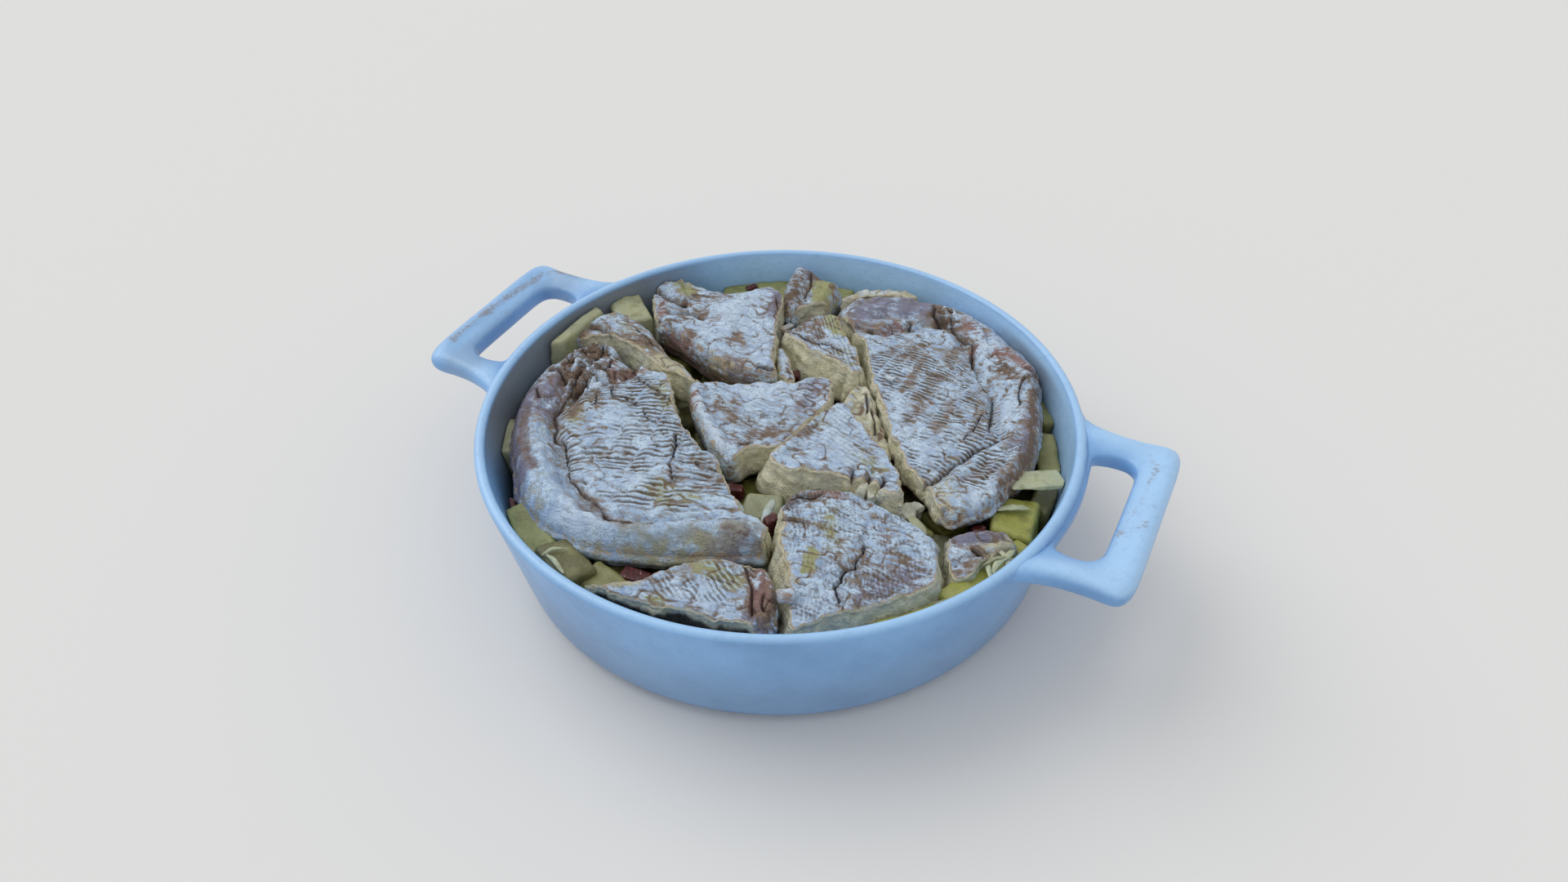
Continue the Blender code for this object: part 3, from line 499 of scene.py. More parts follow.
# A closed ring: sections carried round the grip, each laid between the hole's edge and the outer edge.
def earSolid(side):
    level = [(c, 0) for c in dish["crest"]]
    hole, outer, crest = (closedSpline(line + [(x, -y) for x, y in line[1:-1]][::-1], dish["earSteps"])
                          for line in (dish["hole"], dish["edge"], level))
    crest = crest[:, 0]
    section = closedSpline(dish["section"], dish["earRing"])
    share, rise = section[:, 0][None, :, None], section[:, 1][None, :]
    plan = hole[:, None] * (1 - share) + outer[:, None] * share
    x, y = plan[..., 0], plan[..., 1] + dish["earOffset"]
    most = dish["earReach"]
    if side < 0:
        front, back = dish["leftReach"]
        further = front + (back - front) * (0.5 + plan[..., 1] / 80.0)
        x = x + further * np.clip((x - 118.0) / 10.0, 0.0, 1.0)
        most += back
    z = dish["earBottom"] + (crest[:, None] - dish["earBottom"]) * rise
    points = np.stack([np.minimum(x, most) * side, y, z], -1)
    quads = gridQuads(dish["earSteps"], dish["earRing"], True, True)
    return points, quads if side > 0 else quads[:, ::-1]


# Wear along the ears and rim, painted light on the rim top and far wall, grey painted shade where the wall
# lies in shadow, and one smear.
def dishPaint(points):
    x, y, z = points.T
    out = smoothStep(114.0, 124.0, np.abs(x))  # 1 on the ears
    leftOut = out * (x < 0)
    wear = sum(amount * bell(lineDistance(points, line), width) for amount, width, line in dish["wear"])
    wear = out * smoothStep(48.0, 53.0, z) * wear
    wear = np.maximum(wear, 0.3 * out * smoothStep(53.0, 56.0, z) * (0.7 + softNoise(points, 12.0, 5)))
    wear = np.maximum(wear, 0.3 * smoothStep(55.0, 56.0, z) * (softNoise(points, 24.0, 6) > 0.3))
    inside = (np.hypot(x, y) < innerRadius(z) + 1.0) & (z < 54.5)
    # painted light: the far inner wall paler, the right one a little, and the rim top, less on the left ear
    farLight = np.maximum(smoothStep(20.0, 90.0, y + 0.35 * x), 0.3 * smoothStep(60.0, 100.0, x))
    pale = np.maximum(0.8 * smoothStep(54.0, 56.5, z) * (1.0 - 0.5 * leftOut), 0.9 * inside * farLight)
    shade = np.where(inside, smoothStep(-72.0, -100.0, x) * smoothStep(55.2, 53.4, z), 0.0)
    way = np.degrees(np.arctan2(y, x))  # the wall is greyer behind the right half wheel and beside the ear
    # painted shade: the inner wall greyer where the right half wheel meets it, and beside the right ear
    wallShade = 0.85 * bell(way - 46.0, 14.0) * smoothStep(53.6, 49.0, z) + 0.4 * bell(way + 4.0, 11.0)
    # painted shade on the inner wall, on the outer wall darker towards the bottom, and on the left ear's
    # inner side
    for paintedShade in (np.where(inside & (z < 54.0), wallShade, 0.0),
                   np.where(~inside, 0.35 * (1.0 - out) * smoothStep(50.0, 10.0, z), 0.0),
                   0.3 * leftOut * smoothStep(137.0, 131.0, np.abs(x))):
        shade = np.maximum(shade, paintedShade)
    smear = bell(np.linalg.norm((points - dish["smear"]) / dish["smearSize"], axis=1), 1.0)
    return {"wear": wear, "smear": smear, "pale": pale, "shade": shade}


# Turns the profile round the axis, swells the wall towards both ears and joins the three closed bodies.
def makeDish():
    profile = dishProfile()
    rows, steps = len(profile), dish["steps"]
    turn = np.arange(steps) * math.tau / steps
    radius, level = profile[:, 0, None], profile[:, 1, None]
    wall = np.stack([radius * np.cos(turn), radius * np.sin(turn), np.repeat(level, steps, 1)], -1)
    ears = [earSolid(1), earSolid(-1)]
    outside = (np.arange(rows) > 16) & (np.arange(rows) < 66)
    for ringPoints, _ in ears:  # the wall swells towards the ear, as a fillet
        reach = np.hypot(ringPoints[..., 0], ringPoints[..., 1]) - outerRadius(ringPoints[..., 2])
        free = ringPoints[(reach > 0.1) & (reach < dish["fillet"])]
        patch = wall[outside]
        near = (patch[..., 0] * np.sign(free[0, 0]) > 90) & (patch[..., 2] > 36)
        gap = np.array([np.sqrt(((free - p) ** 2).sum(1).min()) for p in patch[near]])
        swell = np.zeros(patch.shape[:2])
        swell[near] = 0.32 * dish["fillet"] * np.clip(1.0 - gap / dish["fillet"], 0.0, 1.0) ** 2
        wall[outside] = patch + unit(patch * (1.0, 1.0, 0.0)) * swell[..., None]
    flat = np.concatenate([wall.reshape(-1, 3), [(0, 0, 0), (0, 0, dish["floor"])]])
    quads, fans = closedFaces(flat, rows, steps)
    points, faces, start = [flat], [quads], len(flat)
    for ringPoints, ringQuads in ears:
        points.append(ringPoints.reshape(-1, 3))
        faces.append(ringQuads + start)
        start += ringPoints[..., 0].size
    points = np.concatenate(points)
    points[:, 2] = np.minimum(points[:, 2], dish["top"])
    paint = dishPaint(points)
    settle(makeObject("glazedDish", points, [np.concatenate(faces), fans], glaze, paint), "dish")


makeDish()
print("dish made")

bedTop = 34.6
cheeseBase = 35.0

# Each piece, in millimetres seen from above: sides are the runs of its outline, the wheel's own rind or a
# cut, with how far the foot stands out; tips are where its two sides meet; grid is how many sections it has
# and points across the rind; folds are (rise, width, line), cracks (depth, width, line) and crumple (rise,
# width, line) on its top; ribs give the fine ribs' spacing, height, turn in degrees, length of dashes and the
# line that they bend along; paint gives a tone, its width, strength and line. level and tilt set the top, and
# base the underside; shoulder rounds the rind's edge; belly and slump shape the sides; shut is how far down
# they turn dark with painted shade; bare, mottle, speckle, sideBrown and sideCream are shares of worn rind
# and of tones.
cheese = {
    "half_wheel_left": dict(
        sides=[
            ("rind", 0, [(26, -61), (19, -65), (8, -71), (-5, -78), (-20, -83.5), (-35, -86),
                (-50, -84.5), (-60, -81), (-70, -74), (-79, -65), (-89, -54.5), (-98, -40.5), (-103, -27),
                (-104, -13), (-101, -2), (-96.5, 5), (-91, 10), (-82.5, 10), (-74, 6)]),
            ("cut", 0, [(-66, 4), (-60, 1.5), (-53.5, 3.3), (-46.5, -4), (-39.7, -11.6), (-32.5, -20),
                (-21.5, -26.4), (-11.5, -31), (-0.5, -41), (8.2, -47.7), (13.2, -52.5), (18.5, -51.6),
                (24.5, -56)]),
        ],
        level=49.0, tilt=(0.0, 0.02), shoulder=9.0, tips=((25, -58), (-87, 10.5)), grid=(330, 210),
        belly=1.6, sideBrown=0.15, sideCream=0.1, mottle=0.45,
        folds=[
            (-3.2, 2.4, [(-66, -2), (-74, -12), (-79, -23), (-80, -35), (-75, -46), (-66, -54),
                (-58, -64), (-48, -70), (-37, -74), (-28, -77)]),
            (2.4, 6.0, [(-88, 3), (-92, -15), (-90, -33), (-82, -48), (-72, -61), (-58, -73), (-44, -79)]),
            (3.0, 3.4, [(-34, -79), (-24, -79.5), (-14, -76), (-5, -71), (3, -66), (11, -62.5), (19, -58)]),
            (-1.8, 1.6, [(-29, -73), (-19, -72.4), (-11, -69), (-4, -64), (5, -58.5)]),
            (-1.6, 1.3, [(-97, -17), (-90, -18), (-85, -23), (-82, -32)]),
            (1.2, 2.2, [(-88, -8), (-82, -16), (-79, -4)]), (-1.4, 1.5, [(-84, 2), (-80, -8), (-77, -14)]),
            (1.2, 2.2, [(-95, -40), (-87, -52), (-76, -63), (-65, -73)]),
            (-1.1, 1.1, [(-90, -40), (-82, -52), (-72, -62), (-62, -69)]),
            (0.8, 1.2, [(-86, -38), (-78, -50), (-68, -60)]),
            (-0.9, 1.0, [(-86, -28), (-85, -40), (-76, -52)]),
            (1.0, 3.0, [(-22, -50), (-24, -40), (-30, -30)]),
        ],
        cracks=[
            (1.6, 0.6, [(-84, -13), (-82, -25), (-80, -38), (-76.7, -41.3), (-71.2, -48.6), (-66, -50.1),
                (-58.4, -58.5)]),
            (1.5, 0.5, [(-69, -13), (-65, -19), (-60, -17.5), (-53, -18.5)]),
            (1.3, 0.5, [(-64, -3), (-60, -6), (-50, -9), (-43, -11)]),
            (1.4, 0.5, [(-92, 2), (-90, -6), (-92, -13)]), (1.5, 0.5, [(-86, 6), (-83, -2), (-85, -9)]),
            (1.3, 0.5, [(-79, 5), (-77, -4), (-79, -12), (-77, -19)]),
            (1.2, 0.5, [(-95, -8), (-88, -12), (-83, -10)]),
            (1.8, 0.7, [(-30, -27.5), (-27, -33), (-24.5, -38)]),
            (0.9, 0.4, [(-50, -20), (-46, -24), (-42, -25)]),
            (0.8, 0.4, [(-24, -38), (-23, -44), (-19, -49)]), (0.8, 0.4, [(-71, -21), (-68, -26)]),
            (1.8, 0.7, [(-97, -31), (-93, -30), (-89, -34)]),
            (1.6, 0.6, [(-97, -16), (-90, -18), (-85, -22)]),
            (0.9, 0.4, [(-58.5, -58.5), (-52, -65), (-44, -69), (-36, -71.5), (-30.3, -74.7)]),
            (1.7, 0.75, [(-30.3, -74.7), (-24, -76), (-18, -74.3), (-12.5, -71.8), (-6.8, -66.9),
                (-0.5, -62.9), (6.4, -59.9), (14, -56.5)]),
            (1.0, 0.4, [(-15, -37), (-8, -38.5), (-2, -38)]),
        ],
        ribs=dict(
            spacing=2.35, height=0.65, turn=12, bend=9.0, over=5.0, dash=6.0, arcs=(15.0, 3.0),
            line=[(-65, -3), (-72.5, -12.5), (-78, -23), (-79, -35), (-75, -45), (-66, -52), (-58, -62.5)],
            inside=[(-64, -3), (-71, -12.5), (-77, -23), (-78, -35), (-73, -45), (-65, -52), (-57, -61.5),
                (-50, -67), (-40, -67), (-27.5, -68), (-12, -64), (2, -57), (30, -40), (30, 20)],
        ),
        crumple=[
            (2.6, 10.5, [(-90, 5), (-86, -8), (-81, -16)]), (1.0, 4.0, [(-80, -20), (-74, -10), (-66, -1)]),
        ],
        paint=[
            ("brown", 8.0, 0.65, [(-90, 4), (-84, -8), (-78, -14)]),
            ("rust", 3.0, 0.6, [(-78, 0), (-72, -8)]), ("brown", 4.0, 0.75, [(-76, -24), (-74, -34)]),
            ("olive", 5.0, 0.5, [(-75, -28), (-70, -38)]), ("violet", 7.0, 0.75, [(-90, -24), (-84, -38)]),
            ("violet", 8.0, 1.25, [(-98, -34), (-94, -48), (-84, -62), (-72, -71)]),
            ("brown", 2.2, 0.5, [(-90, -42), (-82, -56), (-66, -68)]),
            ("brown", 3.0, 0.2, [(-100, -24), (-98, -44), (-88, -62)]),
            ("violet", 6.0, 0.5, [(-97, -28), (-94, -16)]), ("olive", 6.0, 0.45, [(-10, -80), (6, -72)]),
            ("cream", 6.0, 0.4, [(10, -68), (-2, -78)]), ("cream", 6.0, 0.5, [(-62, -80), (-48, -86)]),
            ("white", 5.0, 0.7, [(-30, -80), (-42, -80)]), ("cream", 5.0, 0.4, [(-30, -86), (-14, -82)]),
            ("violet", 6.0, 0.4, [(-44, -74), (-24, -76)]), ("brown", 3.5, 0.6, [(-45, -26)]),
            ("olive", 4.0, 0.7, [(-24, -54), (-14, -61)]), ("brown", 4.0, 0.5, [(-10, -36), (-4, -48)]),
            ("rust", 2.5, 0.6, [(-68, -3), (-62, 2)]), ("olive", 5.0, 0.6, [(-50, -6), (-42, -14)]),
            ("white", 8.0, 0.35, [(-50, -30), (-26, -58)]),
            ("calm", 12.0, 1.0, [(-84, -62), (-76, -68), (-62, -76), (-40, -84), (-14, -82), (8, -72),
                (22, -62)]),
            ("olive", 4.5, 0.6, [(-22, -52), (-14, -56), (-8, -53)]),
            ("brown", 3.0, 0.5, [(-20, -44), (-16, -50)]), ("brown", 4.0, 0.4, [(14, -62), (24, -58)]),
            ("violet", 5.0, 0.6, [(20, -63), (12, -70)]),
        ],
    ),
    "half_wheel_right": dict(
        sides=[
            ("rind", 0, [(74.5, -20.5), (79.5, -21.5), (84.5, -15.5), (88.5, -8), (91.5, 2), (94, 10.5),
                (95, 19), (94, 31), (91.5, 42), (88, 53), (85, 62), (82.5, 70), (79.5, 77), (74, 83),
                (65.5, 88.5), (56.5, 94.5), (47.5, 99.5), (38, 102.5), (28, 103), (20, 101.2),
                (11.4, 98.2), (1.8, 94.6), (-5.5, 90), (-10.8, 84), (-12.2, 77.9)]),
            ("cut", 0, [(-8, 74.5), (-3, 69.5), (3, 63.5), (8, 61), (12.5, 54), (17, 46), (22, 38.5),
                (30.5, 27), (38.5, 15.5), (45.5, 6), (51, 0), (56, -4.5), (61, -9), (66, -11.5),
                (70, -16.5)]),
        ],
        level=49.5, tilt=(0.0, 0.0), shoulder=6.0, tips=((72, -19), (-10, 77)), grid=(330, 210),
        base=(2.0, 0.0, -0.075), sideBrown=0.5, sideCream=0.1, mottle=0.55,
        folds=[
            (-3.0, 2.2, [(2, 68), (14, 70), (21, 76), (27, 84), (36, 86), (44, 81), (52, 72), (60, 61),
                (69, 51), (73, 38), (79, 29)]),
            (2.4, 6.5, [(-4, 80), (4, 89), (18, 93), (33, 94), (48, 88), (62, 78), (76, 68), (82, 50),
                (86, 35), (88, 18), (84, 2), (78, -12)]),
            (-2.4, 1.6, [(82, 26), (74, 16), (71, 6), (68, -4), (64, -10)]),
            (1.8, 2.6, [(84, 22), (78, 14), (75, 4), (73, -6)]), (-1.5, 2.2, [(6, 78), (12, 84), (20, 86)]),
            (1.5, 2.2, [(12, 74), (17, 80), (20, 74)]), (1.4, 2.0, [(-6, 84), (4, 91), (16, 95)]),
            (-1.8, 3.0, [(30, 92), (35, 88)]), (1.2, 1.6, [(42, 94), (50, 88), (54, 80)]),
            (-1.0, 1.2, [(46, 94), (54, 86), (58, 76), (64, 66)]),
            (1.1, 1.5, [(60, 80), (70, 77), (78, 70)]),
            (-0.9, 1.2, [(79, 60), (80, 50), (81, 40), (86, 28)]),
            (1.4, 2.2, [(84, 30), (90, 16), (90, 2), (86, -10)]),
            (-1.2, 1.3, [(86, 26), (87, 12), (83, 0)]),
        ],
        cracks=[
            (2.4, 1.3, [(27, 95), (28, 90), (33, 87), (37, 85.5)]),
            (1.6, 0.8, [(31, 98), (35, 94), (37, 88), (40, 84)]),
            (1.6, 0.6, [(40, 84), (50, 78), (53, 71), (58, 61)]),
            (1.3, 0.6, [(64, 53), (70, 49.5), (72.5, 38), (75, 30)]),
            (1.2, 0.5, [(80.9, 67.1), (76.9, 61.5), (77.8, 54.8), (81.2, 46.2)]),
            (1.2, 0.5, [(41, 50.5), (46, 51.5), (50.5, 49.5)]),
            (0.9, 0.4, [(71.5, 41), (69.1, 37.5), (69.4, 29.3), (68.7, 19.3)]),
            (0.8, 0.4, [(22, 60), (31, 60)]), (1.8, 0.8, [(21, 82), (21.5, 75), (20, 71)]),
            (1.4, 0.5, [(82, 26), (74, 16), (71, 6), (68, -4), (64, -10)]),
            (1.6, 0.6, [(76, 69), (79, 68), (82, 70)]), (1.2, 0.6, [(-6, 72), (2, 66), (8, 70)]),
        ],
        ribs=dict(
            spacing=2.05, height=0.55, turn=1, bend=9.0, over=6.0, dash=3.6, arcs=(8.5, 0.8),
            line=[(21, 73), (25, 83), (30, 85), (37, 82), (46, 73), (58, 61), (70, 50)],
            inside=[(4, 60), (12, 66), (21, 72), (25, 82), (30, 84), (37, 81), (46, 72), (56, 60),
                (62, 50), (69, 49), (80, 32), (92, 20), (84, -6), (66, -20), (30, 0)],
        ),
        crumple=[(1.2, 6.0, [(30, 92), (36, 88)]), (1.0, 4.0, [(56, 76), (72, 62)])],
        paint=[
            ("violet", 9.0, 0.7, [(0, 78), (8, 88), (22, 93)]),
            ("calm", 9.0, 0.5, [(0, 80), (8, 88), (24, 94)]), ("rust", 3.0, 0.6, [(13, 70), (18, 76)]),
            ("brown", 2.6, 0.9, [(-12, 82), (-4, 92), (8, 97), (20, 100)]),
            ("rust", 4.0, 0.6, [(43, 89), (52, 84)]), ("rust", 4.0, 0.7, [(54, 77), (70, 76), (77, 70)]),
            ("violet", 5.0, 0.6, [(86, 45), (89, 20)]),
            ("brown", 2.4, 0.8, [(84, 60), (89, 35), (93, 15), (90, -3)]),
            # dark here is painted shade in the deep crack
            ("dark", 2.4, 0.6, [(31, 92), (34, 89)]), ("cream", 5.0, 0.7, [(68, -8), (76, -18)]),
            ("white", 4.0, 0.7, [(86, -2), (82, -12)]), ("white", 8.0, 0.4, [(30, 30), (56, 4)]),
            ("white", 4.0, 0.5, [(57, 82), (66, 70)]), ("brown", 3.0, 0.6, [(28, 56), (28, 66)]),
            ("brown", 2.6, 0.6, [(36, 40), (36, 62)]), ("brown", 2.6, 0.6, [(45, 20), (45, 46)]),
            ("brown", 3.0, 0.6, [(57, 18), (57, 34)]), ("brown", 3.0, 0.55, [(46, 72), (46, 60)]),
            ("olive", 1.8, 0.9, [(5, 61), (12, 52), (17, 43)]), ("rust", 1.6, 0.9, [(17, 44)]),
            ("violet", 4.0, 0.5, [(78, -4), (84, 8)]), ("brown", 3.0, 0.5, [(64, 58), (68, 64)]),
            ("white", 4.0, 0.5, [(76, 46), (78, 34)]),
        ],
    ),
    "wedge_back_left": dict(
        sides=[
            ("rind", 0, [(-14.5, 23.5), (-23, 20.5), (-32, 20.5), (-45, 23), (-56, 27.5), (-66, 31),
                (-73, 32)]),
            ("cut", 0, [(-78, 32.5), (-85, 42), (-91, 50), (-94, 57), (-93.5, 65.5), (-88, 68.5),
                (-80, 66), (-66, 64.8), (-56, 66.5), (-49.5, 73), (-45, 78), (-39.5, 77.5), (-35.5, 71),
                (-30.5, 59), (-26.5, 47), (-23.8, 40), (-18.5, 30)]),
        ],
        level=50.5, tilt=(0.02, -0.02), shoulder=4.0, tips=((-14.5, 24), (-76, 32)), grid=(230, 170),
        belly=0.8, sideBrown=0.9, sideCream=0.0, mottle=0.6,
        folds=[
            (2.5, 9.0, [(-47, 72), (-50, 50), (-47, 32)]), (-2.8, 2.4, [(-92, 55), (-80, 51), (-74, 49)]),
            (-2.6, 2.4, [(-76, 41), (-66, 46), (-60, 43)]), (1.2, 2.0, [(-90, 62), (-82, 60), (-76, 54)]),
            (-1.2, 1.6, [(-84, 66), (-78, 58), (-74, 54)]), (1.4, 2.4, [(-82, 46), (-76, 38), (-72, 34)]),
            (1.0, 2.6, [(-72, 36), (-66, 40), (-58, 36), (-60, 30)]),
            (-0.8, 1.4, [(-84, 44), (-78, 47), (-72, 52)]), (1.0, 2.0, [(-41, 74), (-36, 62), (-31, 52)]),
        ],
        cracks=[
            (2.2, 0.9, [(-94, 55), (-87, 53), (-80, 51), (-75, 51.5)]),
            (2.2, 0.9, [(-76, 40), (-71, 43.5), (-66, 46), (-61, 43)]),
            (1.0, 0.5, [(-22, 22), (-14, 24.5)]), (0.9, 0.4, [(-38, 70), (-34, 62)]),
            (0.8, 0.4, [(-74, 57), (-66, 60)]),
        ],
        paint=[
            ("white", 10.0, 0.5, [(-50, 66), (-50, 36)]), ("brown", 2.4, 0.6, [(-66, 66), (-56, 70)]),
            ("brown", 2.4, 0.5, [(-58, 44), (-50, 47)]), ("violet", 5.0, 0.7, [(-41, 74), (-34, 58)]),
            ("olive", 4.5, 0.8, [(-86, 63), (-78, 60)]), ("brown", 5.0, 0.55, [(-62, 60), (-72, 58)]),
            ("rust", 3.5, 0.7, [(-84, 48), (-77, 38)]), ("brown", 3.0, 0.5, [(-34, 34), (-40, 36)]),
            ("rust", 4.0, 0.8, [(-72, 29), (-60, 26)]), ("brown", 4.0, 0.6, [(-68, 40), (-62, 48)]),
            ("cream", 3.0, 0.7, [(-44, 21), (-36, 19)]), ("violet", 4.0, 0.6, [(-26, 18), (-36, 20)]),
            ("brown", 3.5, 0.4, [(-22, 34), (-28, 44)]), ("white", 7.0, 0.5, [(-34, 44), (-24, 28)]),
        ],
    ),
    "edge_strip_left": dict(
        sides=[
            ("rind", 0, [(-99, 8.5), (-103.5, 7.5), (-105.5, 13), (-104, 21), (-98, 29), (-91, 33),
                (-82, 29.5), (-75, 25.8), (-60.5, 17), (-48.5, 11.8)]),
            ("cut", 0, [(-39.5, 7.5), (-44, 5.5), (-52, 7.5), (-60, 8), (-68, 10), (-76, 13.5),
                (-84, 15.5), (-92, 14.5), (-96.5, 11.5)]),
        ],
        level=49.5, tilt=(-0.03, 0.0), shoulder=4.0, tips=((-39.5, 8.5), (-98, 9)), grid=(200, 120),
        belly=0.6, sideBrown=0.4, sideCream=0.4, mottle=0.7,
        folds=[
            (1.8, 6.0, [(-94, 23), (-76, 19)]), (-2.0, 1.8, [(-100, 17), (-92, 16.5)]),
            (1.2, 2.0, [(-100, 22), (-94, 28)]), (-1.0, 1.5, [(-86, 16), (-76, 18), (-66, 15)]),
        ],
        cracks=[(1.8, 0.7, [(-101, 17), (-92, 16.5), (-88, 15)]), (0.8, 0.4, [(-80, 22), (-70, 18)])],
        paint=[
            ("olive", 6.0, 0.4, [(-70, 17), (-54, 11)]), ("cream", 4.0, 0.7, [(-62, 12), (-44, 8)]),
            ("brown", 5.0, 0.6, [(-84, 14), (-70, 18)]), ("olive", 5.0, 0.35, [(-92, 24), (-80, 20)]),
            ("brown", 4.0, 0.75, [(-102, 12), (-97, 9)]), ("brown", 3.0, 0.5, [(-100, 26), (-92, 31)]),
            ("white", 4.0, 0.4, [(-90, 22), (-80, 20)]),
        ],
    ),
    "wedge_back": dict(
        sides=[
            ("rind", 0, [(-18.3, 80.5), (-17.5, 85.8), (-17, 91), (-20.2, 96.2), (-28.5, 96.6),
                (-35.6, 98.1), (-41.5, 95.9), (-41.6, 88.4), (-38.8, 80.2), (-34, 73), (-31, 68)]),
            ("cut", 0, [(-28, 70), (-25.5, 77)]),
        ],
        level=50.5, tilt=(-0.12, 0.1), shoulder=4.5, tips=((-30, 68), (-19, 95)), grid=(120, 110),
        sideBrown=0.5, sideCream=0.1, mottle=0.4,
        folds=[
            (3.0, 4.0, [(-38, 92), (-36, 80)]), (-1.6, 2.4, [(-30, 90), (-30, 76)]),
            (1.0, 2.0, [(-22, 92), (-22, 82)]),
        ],
        cracks=[(1.2, 0.6, [(-33, 94), (-30, 88), (-29, 80)])],
        paint=[
            ("violet", 5.0, 0.8, [(-34, 96), (-28, 92)]), ("olive", 4.5, 2.0, [(-25, 90), (-22, 82)]),
            ("brown", 4.0, 0.7, [(-37, 86), (-33, 72)]), ("brown", 3.0, 0.6, [(-31, 84), (-28, 72)]),
        ],
    ),
    "wedge_upper": dict(
        sides=[
            ("cut", 1, [(-24, 49.5), (-18, 46), (-8, 42.5), (2, 41), (10, 39), (15, 36.6)]),
            ("cut", 0, [(17, 40.5), (11.2, 49.4), (5.4, 55.7), (-1, 62.3), (-6.3, 67.8)]),
            ("rind", 0, [(-12.5, 72.5), (-17.5, 68.3), (-20, 62.3), (-22.3, 55.3)]),
        ],
        level=51.0, tilt=(-0.02, -0.03), shoulder=3.0, tips=((-24, 50), (16, 38)), grid=(180, 130),
        slump=3.4, sideBrown=0.7, sideCream=0.1, mottle=0.5,
        folds=[(-0.9, 1.2, [(-14, 48.5), (0, 47), (12, 41)]), (0.9, 2.0, [(-18, 64), (-10, 56)])],
        cracks=[(1.4, 0.5, [(-23, 51), (-15, 50), (-10, 48.5), (-1, 49), (6, 47)])],
        ribs=dict(spacing=1.7, height=0.2, turn=-52, dash=3.0, share=0.5),
        paint=[
            ("olive", 4.0, 2.0, [(-8, 67), (-4, 62)]), ("olive", 5.0, 0.5, [(4, 50), (10, 42)]),
            ("brown", 3.5, 0.7, [(-20, 56), (-17, 67)]), ("white", 5.0, 0.5, [(-2, 56), (8, 46)]),
            ("violet", 4.0, 0.4, [(-14, 58), (-8, 52)]),
        ],
    ),
    "wedge_centre": dict(
        sides=[
            ("rind", 0, [(-42.5, 2), (-38, -4.5), (-30, -12.5), (-20, -21), (-12, -27), (-7, -30)]),
            ("cut", 0, [(-4.5, -27), (-3.5, -21.5), (-0.5, -18.5), (4, -17), (7, -15.2), (8.8, -8.5),
                (10.4, -2), (12.2, 5), (14, 11.5), (13.2, 20), (10.6, 25.6), (8.2, 28.6), (5.2, 29.2),
                (0, 25.8), (-5, 20.6), (-12, 19.4), (-20, 13.3), (-32, 9), (-40, 5.6)]),
        ],
        level=49.5, tilt=(0.03, 0.04), shoulder=3.0, tips=((-43, 3), (7.5, 28.5)), grid=(220, 150),
        belly=0.5, sideBrown=0.35, sideCream=0.4, mottle=0.5,
        ribs=dict(spacing=2.1, height=0.14, turn=-6, dash=2.4, share=0.34, arcs=(7.0, 0.8)),
        folds=[
            (-1.5, 8.0, [(-14, 4), (-4, -8)]), (1.4, 2.4, [(-40, 1), (-28, -11), (-12, -24)]),
            (-1.2, 1.8, [(-34, 0), (-22, -11), (-10, -20)]), (0.9, 2.2, [(0, 24), (4, 10)]),
        ],
        cracks=[(1.0, 0.5, [(-6, -21), (-3, -18)]), (0.8, 0.5, [(-7, -1), (-4, 0)])],
        paint=[
            ("white", 8.0, 0.55, [(-20, 10), (-4, 14)]), ("brown", 5.0, 0.7, [(-24, -4), (-14, -6)]),
            ("brown", 5.0, 0.75, [(-4, -13), (2, -8)]),
            ("white", 2.2, 0.9, [(-40, 0), (-26, -13), (-10, -25)]),
            ("rust", 2.2, 0.8, [(-38, -3), (-32, -8)]), ("violet", 6.0, 0.6, [(4, 22), (6, 10)]),
            ("rust", 2.0, 0.5, [(-14, -20), (-10, -23)]),
        ],
    ),
    "wedge_right": dict(
        sides=[
            ("cut", 0, [(20.3, 17), (24.3, 14.2), (31.3, 8.6), (38.8, 3.5), (45, -0.6), (50.5, -5.6),
                (54.5, -10.8)]),
            ("cut", 2, [(58, -17), (55.5, -21), (48, -19.5), (42, -19), (36, -21), (29, -22.5), (21, -25),
                (14, -27)]),
            ("cut", 4, [(9.5, -25.5), (7.5, -22)]),
            ("cut", 0, [(8.5, -15), (10.8, -5), (12.2, 2), (14.5, 9), (17.5, 14.8)]),
        ],
        level=50.5, tilt=(-0.02, 0.0), shoulder=2.0, tips=((20, 17), (58, -15)), grid=(230, 190),
        mottle=0.45, speckle=0.4, slump=1.8,
        ribs=dict(spacing=2.2, height=0.16, turn=-12, dash=2.4, share=0.34, arcs=(7.0, 0.8)),
        folds=[
            (1.5, 12.0, [(18, 5), (30, -10)]), (-1.3, 1.4, [(40, -15), (41, -21)]),
            (-1.6, 1.5, [(45, -15), (46, -21)]), (-1.4, 1.4, [(51, -14), (51, -21)]),
            (1.2, 1.5, [(43, -15), (43.5, -19)]), (1.2, 1.5, [(48, -15), (48.5, -19)]),
            (0.8, 1.6, [(11, -20), (14, 4), (20, 14)]), (-0.7, 1.6, [(14, -22), (17, 2)]),
        ],
        cracks=[
            (1.4, 0.8, [(39, -16.5), (40, -21)]), (1.5, 0.9, [(45, -16), (45.5, -21)]),
            (1.4, 0.7, [(50.5, -15), (51, -21)]), (0.8, 0.4, [(8, 7), (12, 6), (16, 8)]),
        ],
        paint=[
            ("white", 9.0, 0.5, [(24, 4), (34, -12)]), ("olive", 3.0, 0.5, [(24, -4), (30, -2)]),
            ("cream", 1.4, 0.8, [(8, -20), (11, -4), (15, 9)]), ("olive", 5.0, 0.55, [(38, -8), (46, -12)]),
            ("olive", 4.0, 0.5, [(14, 6), (20, 0)]), ("brown", 2.0, 0.6, [(9, -14), (15, -4)]),
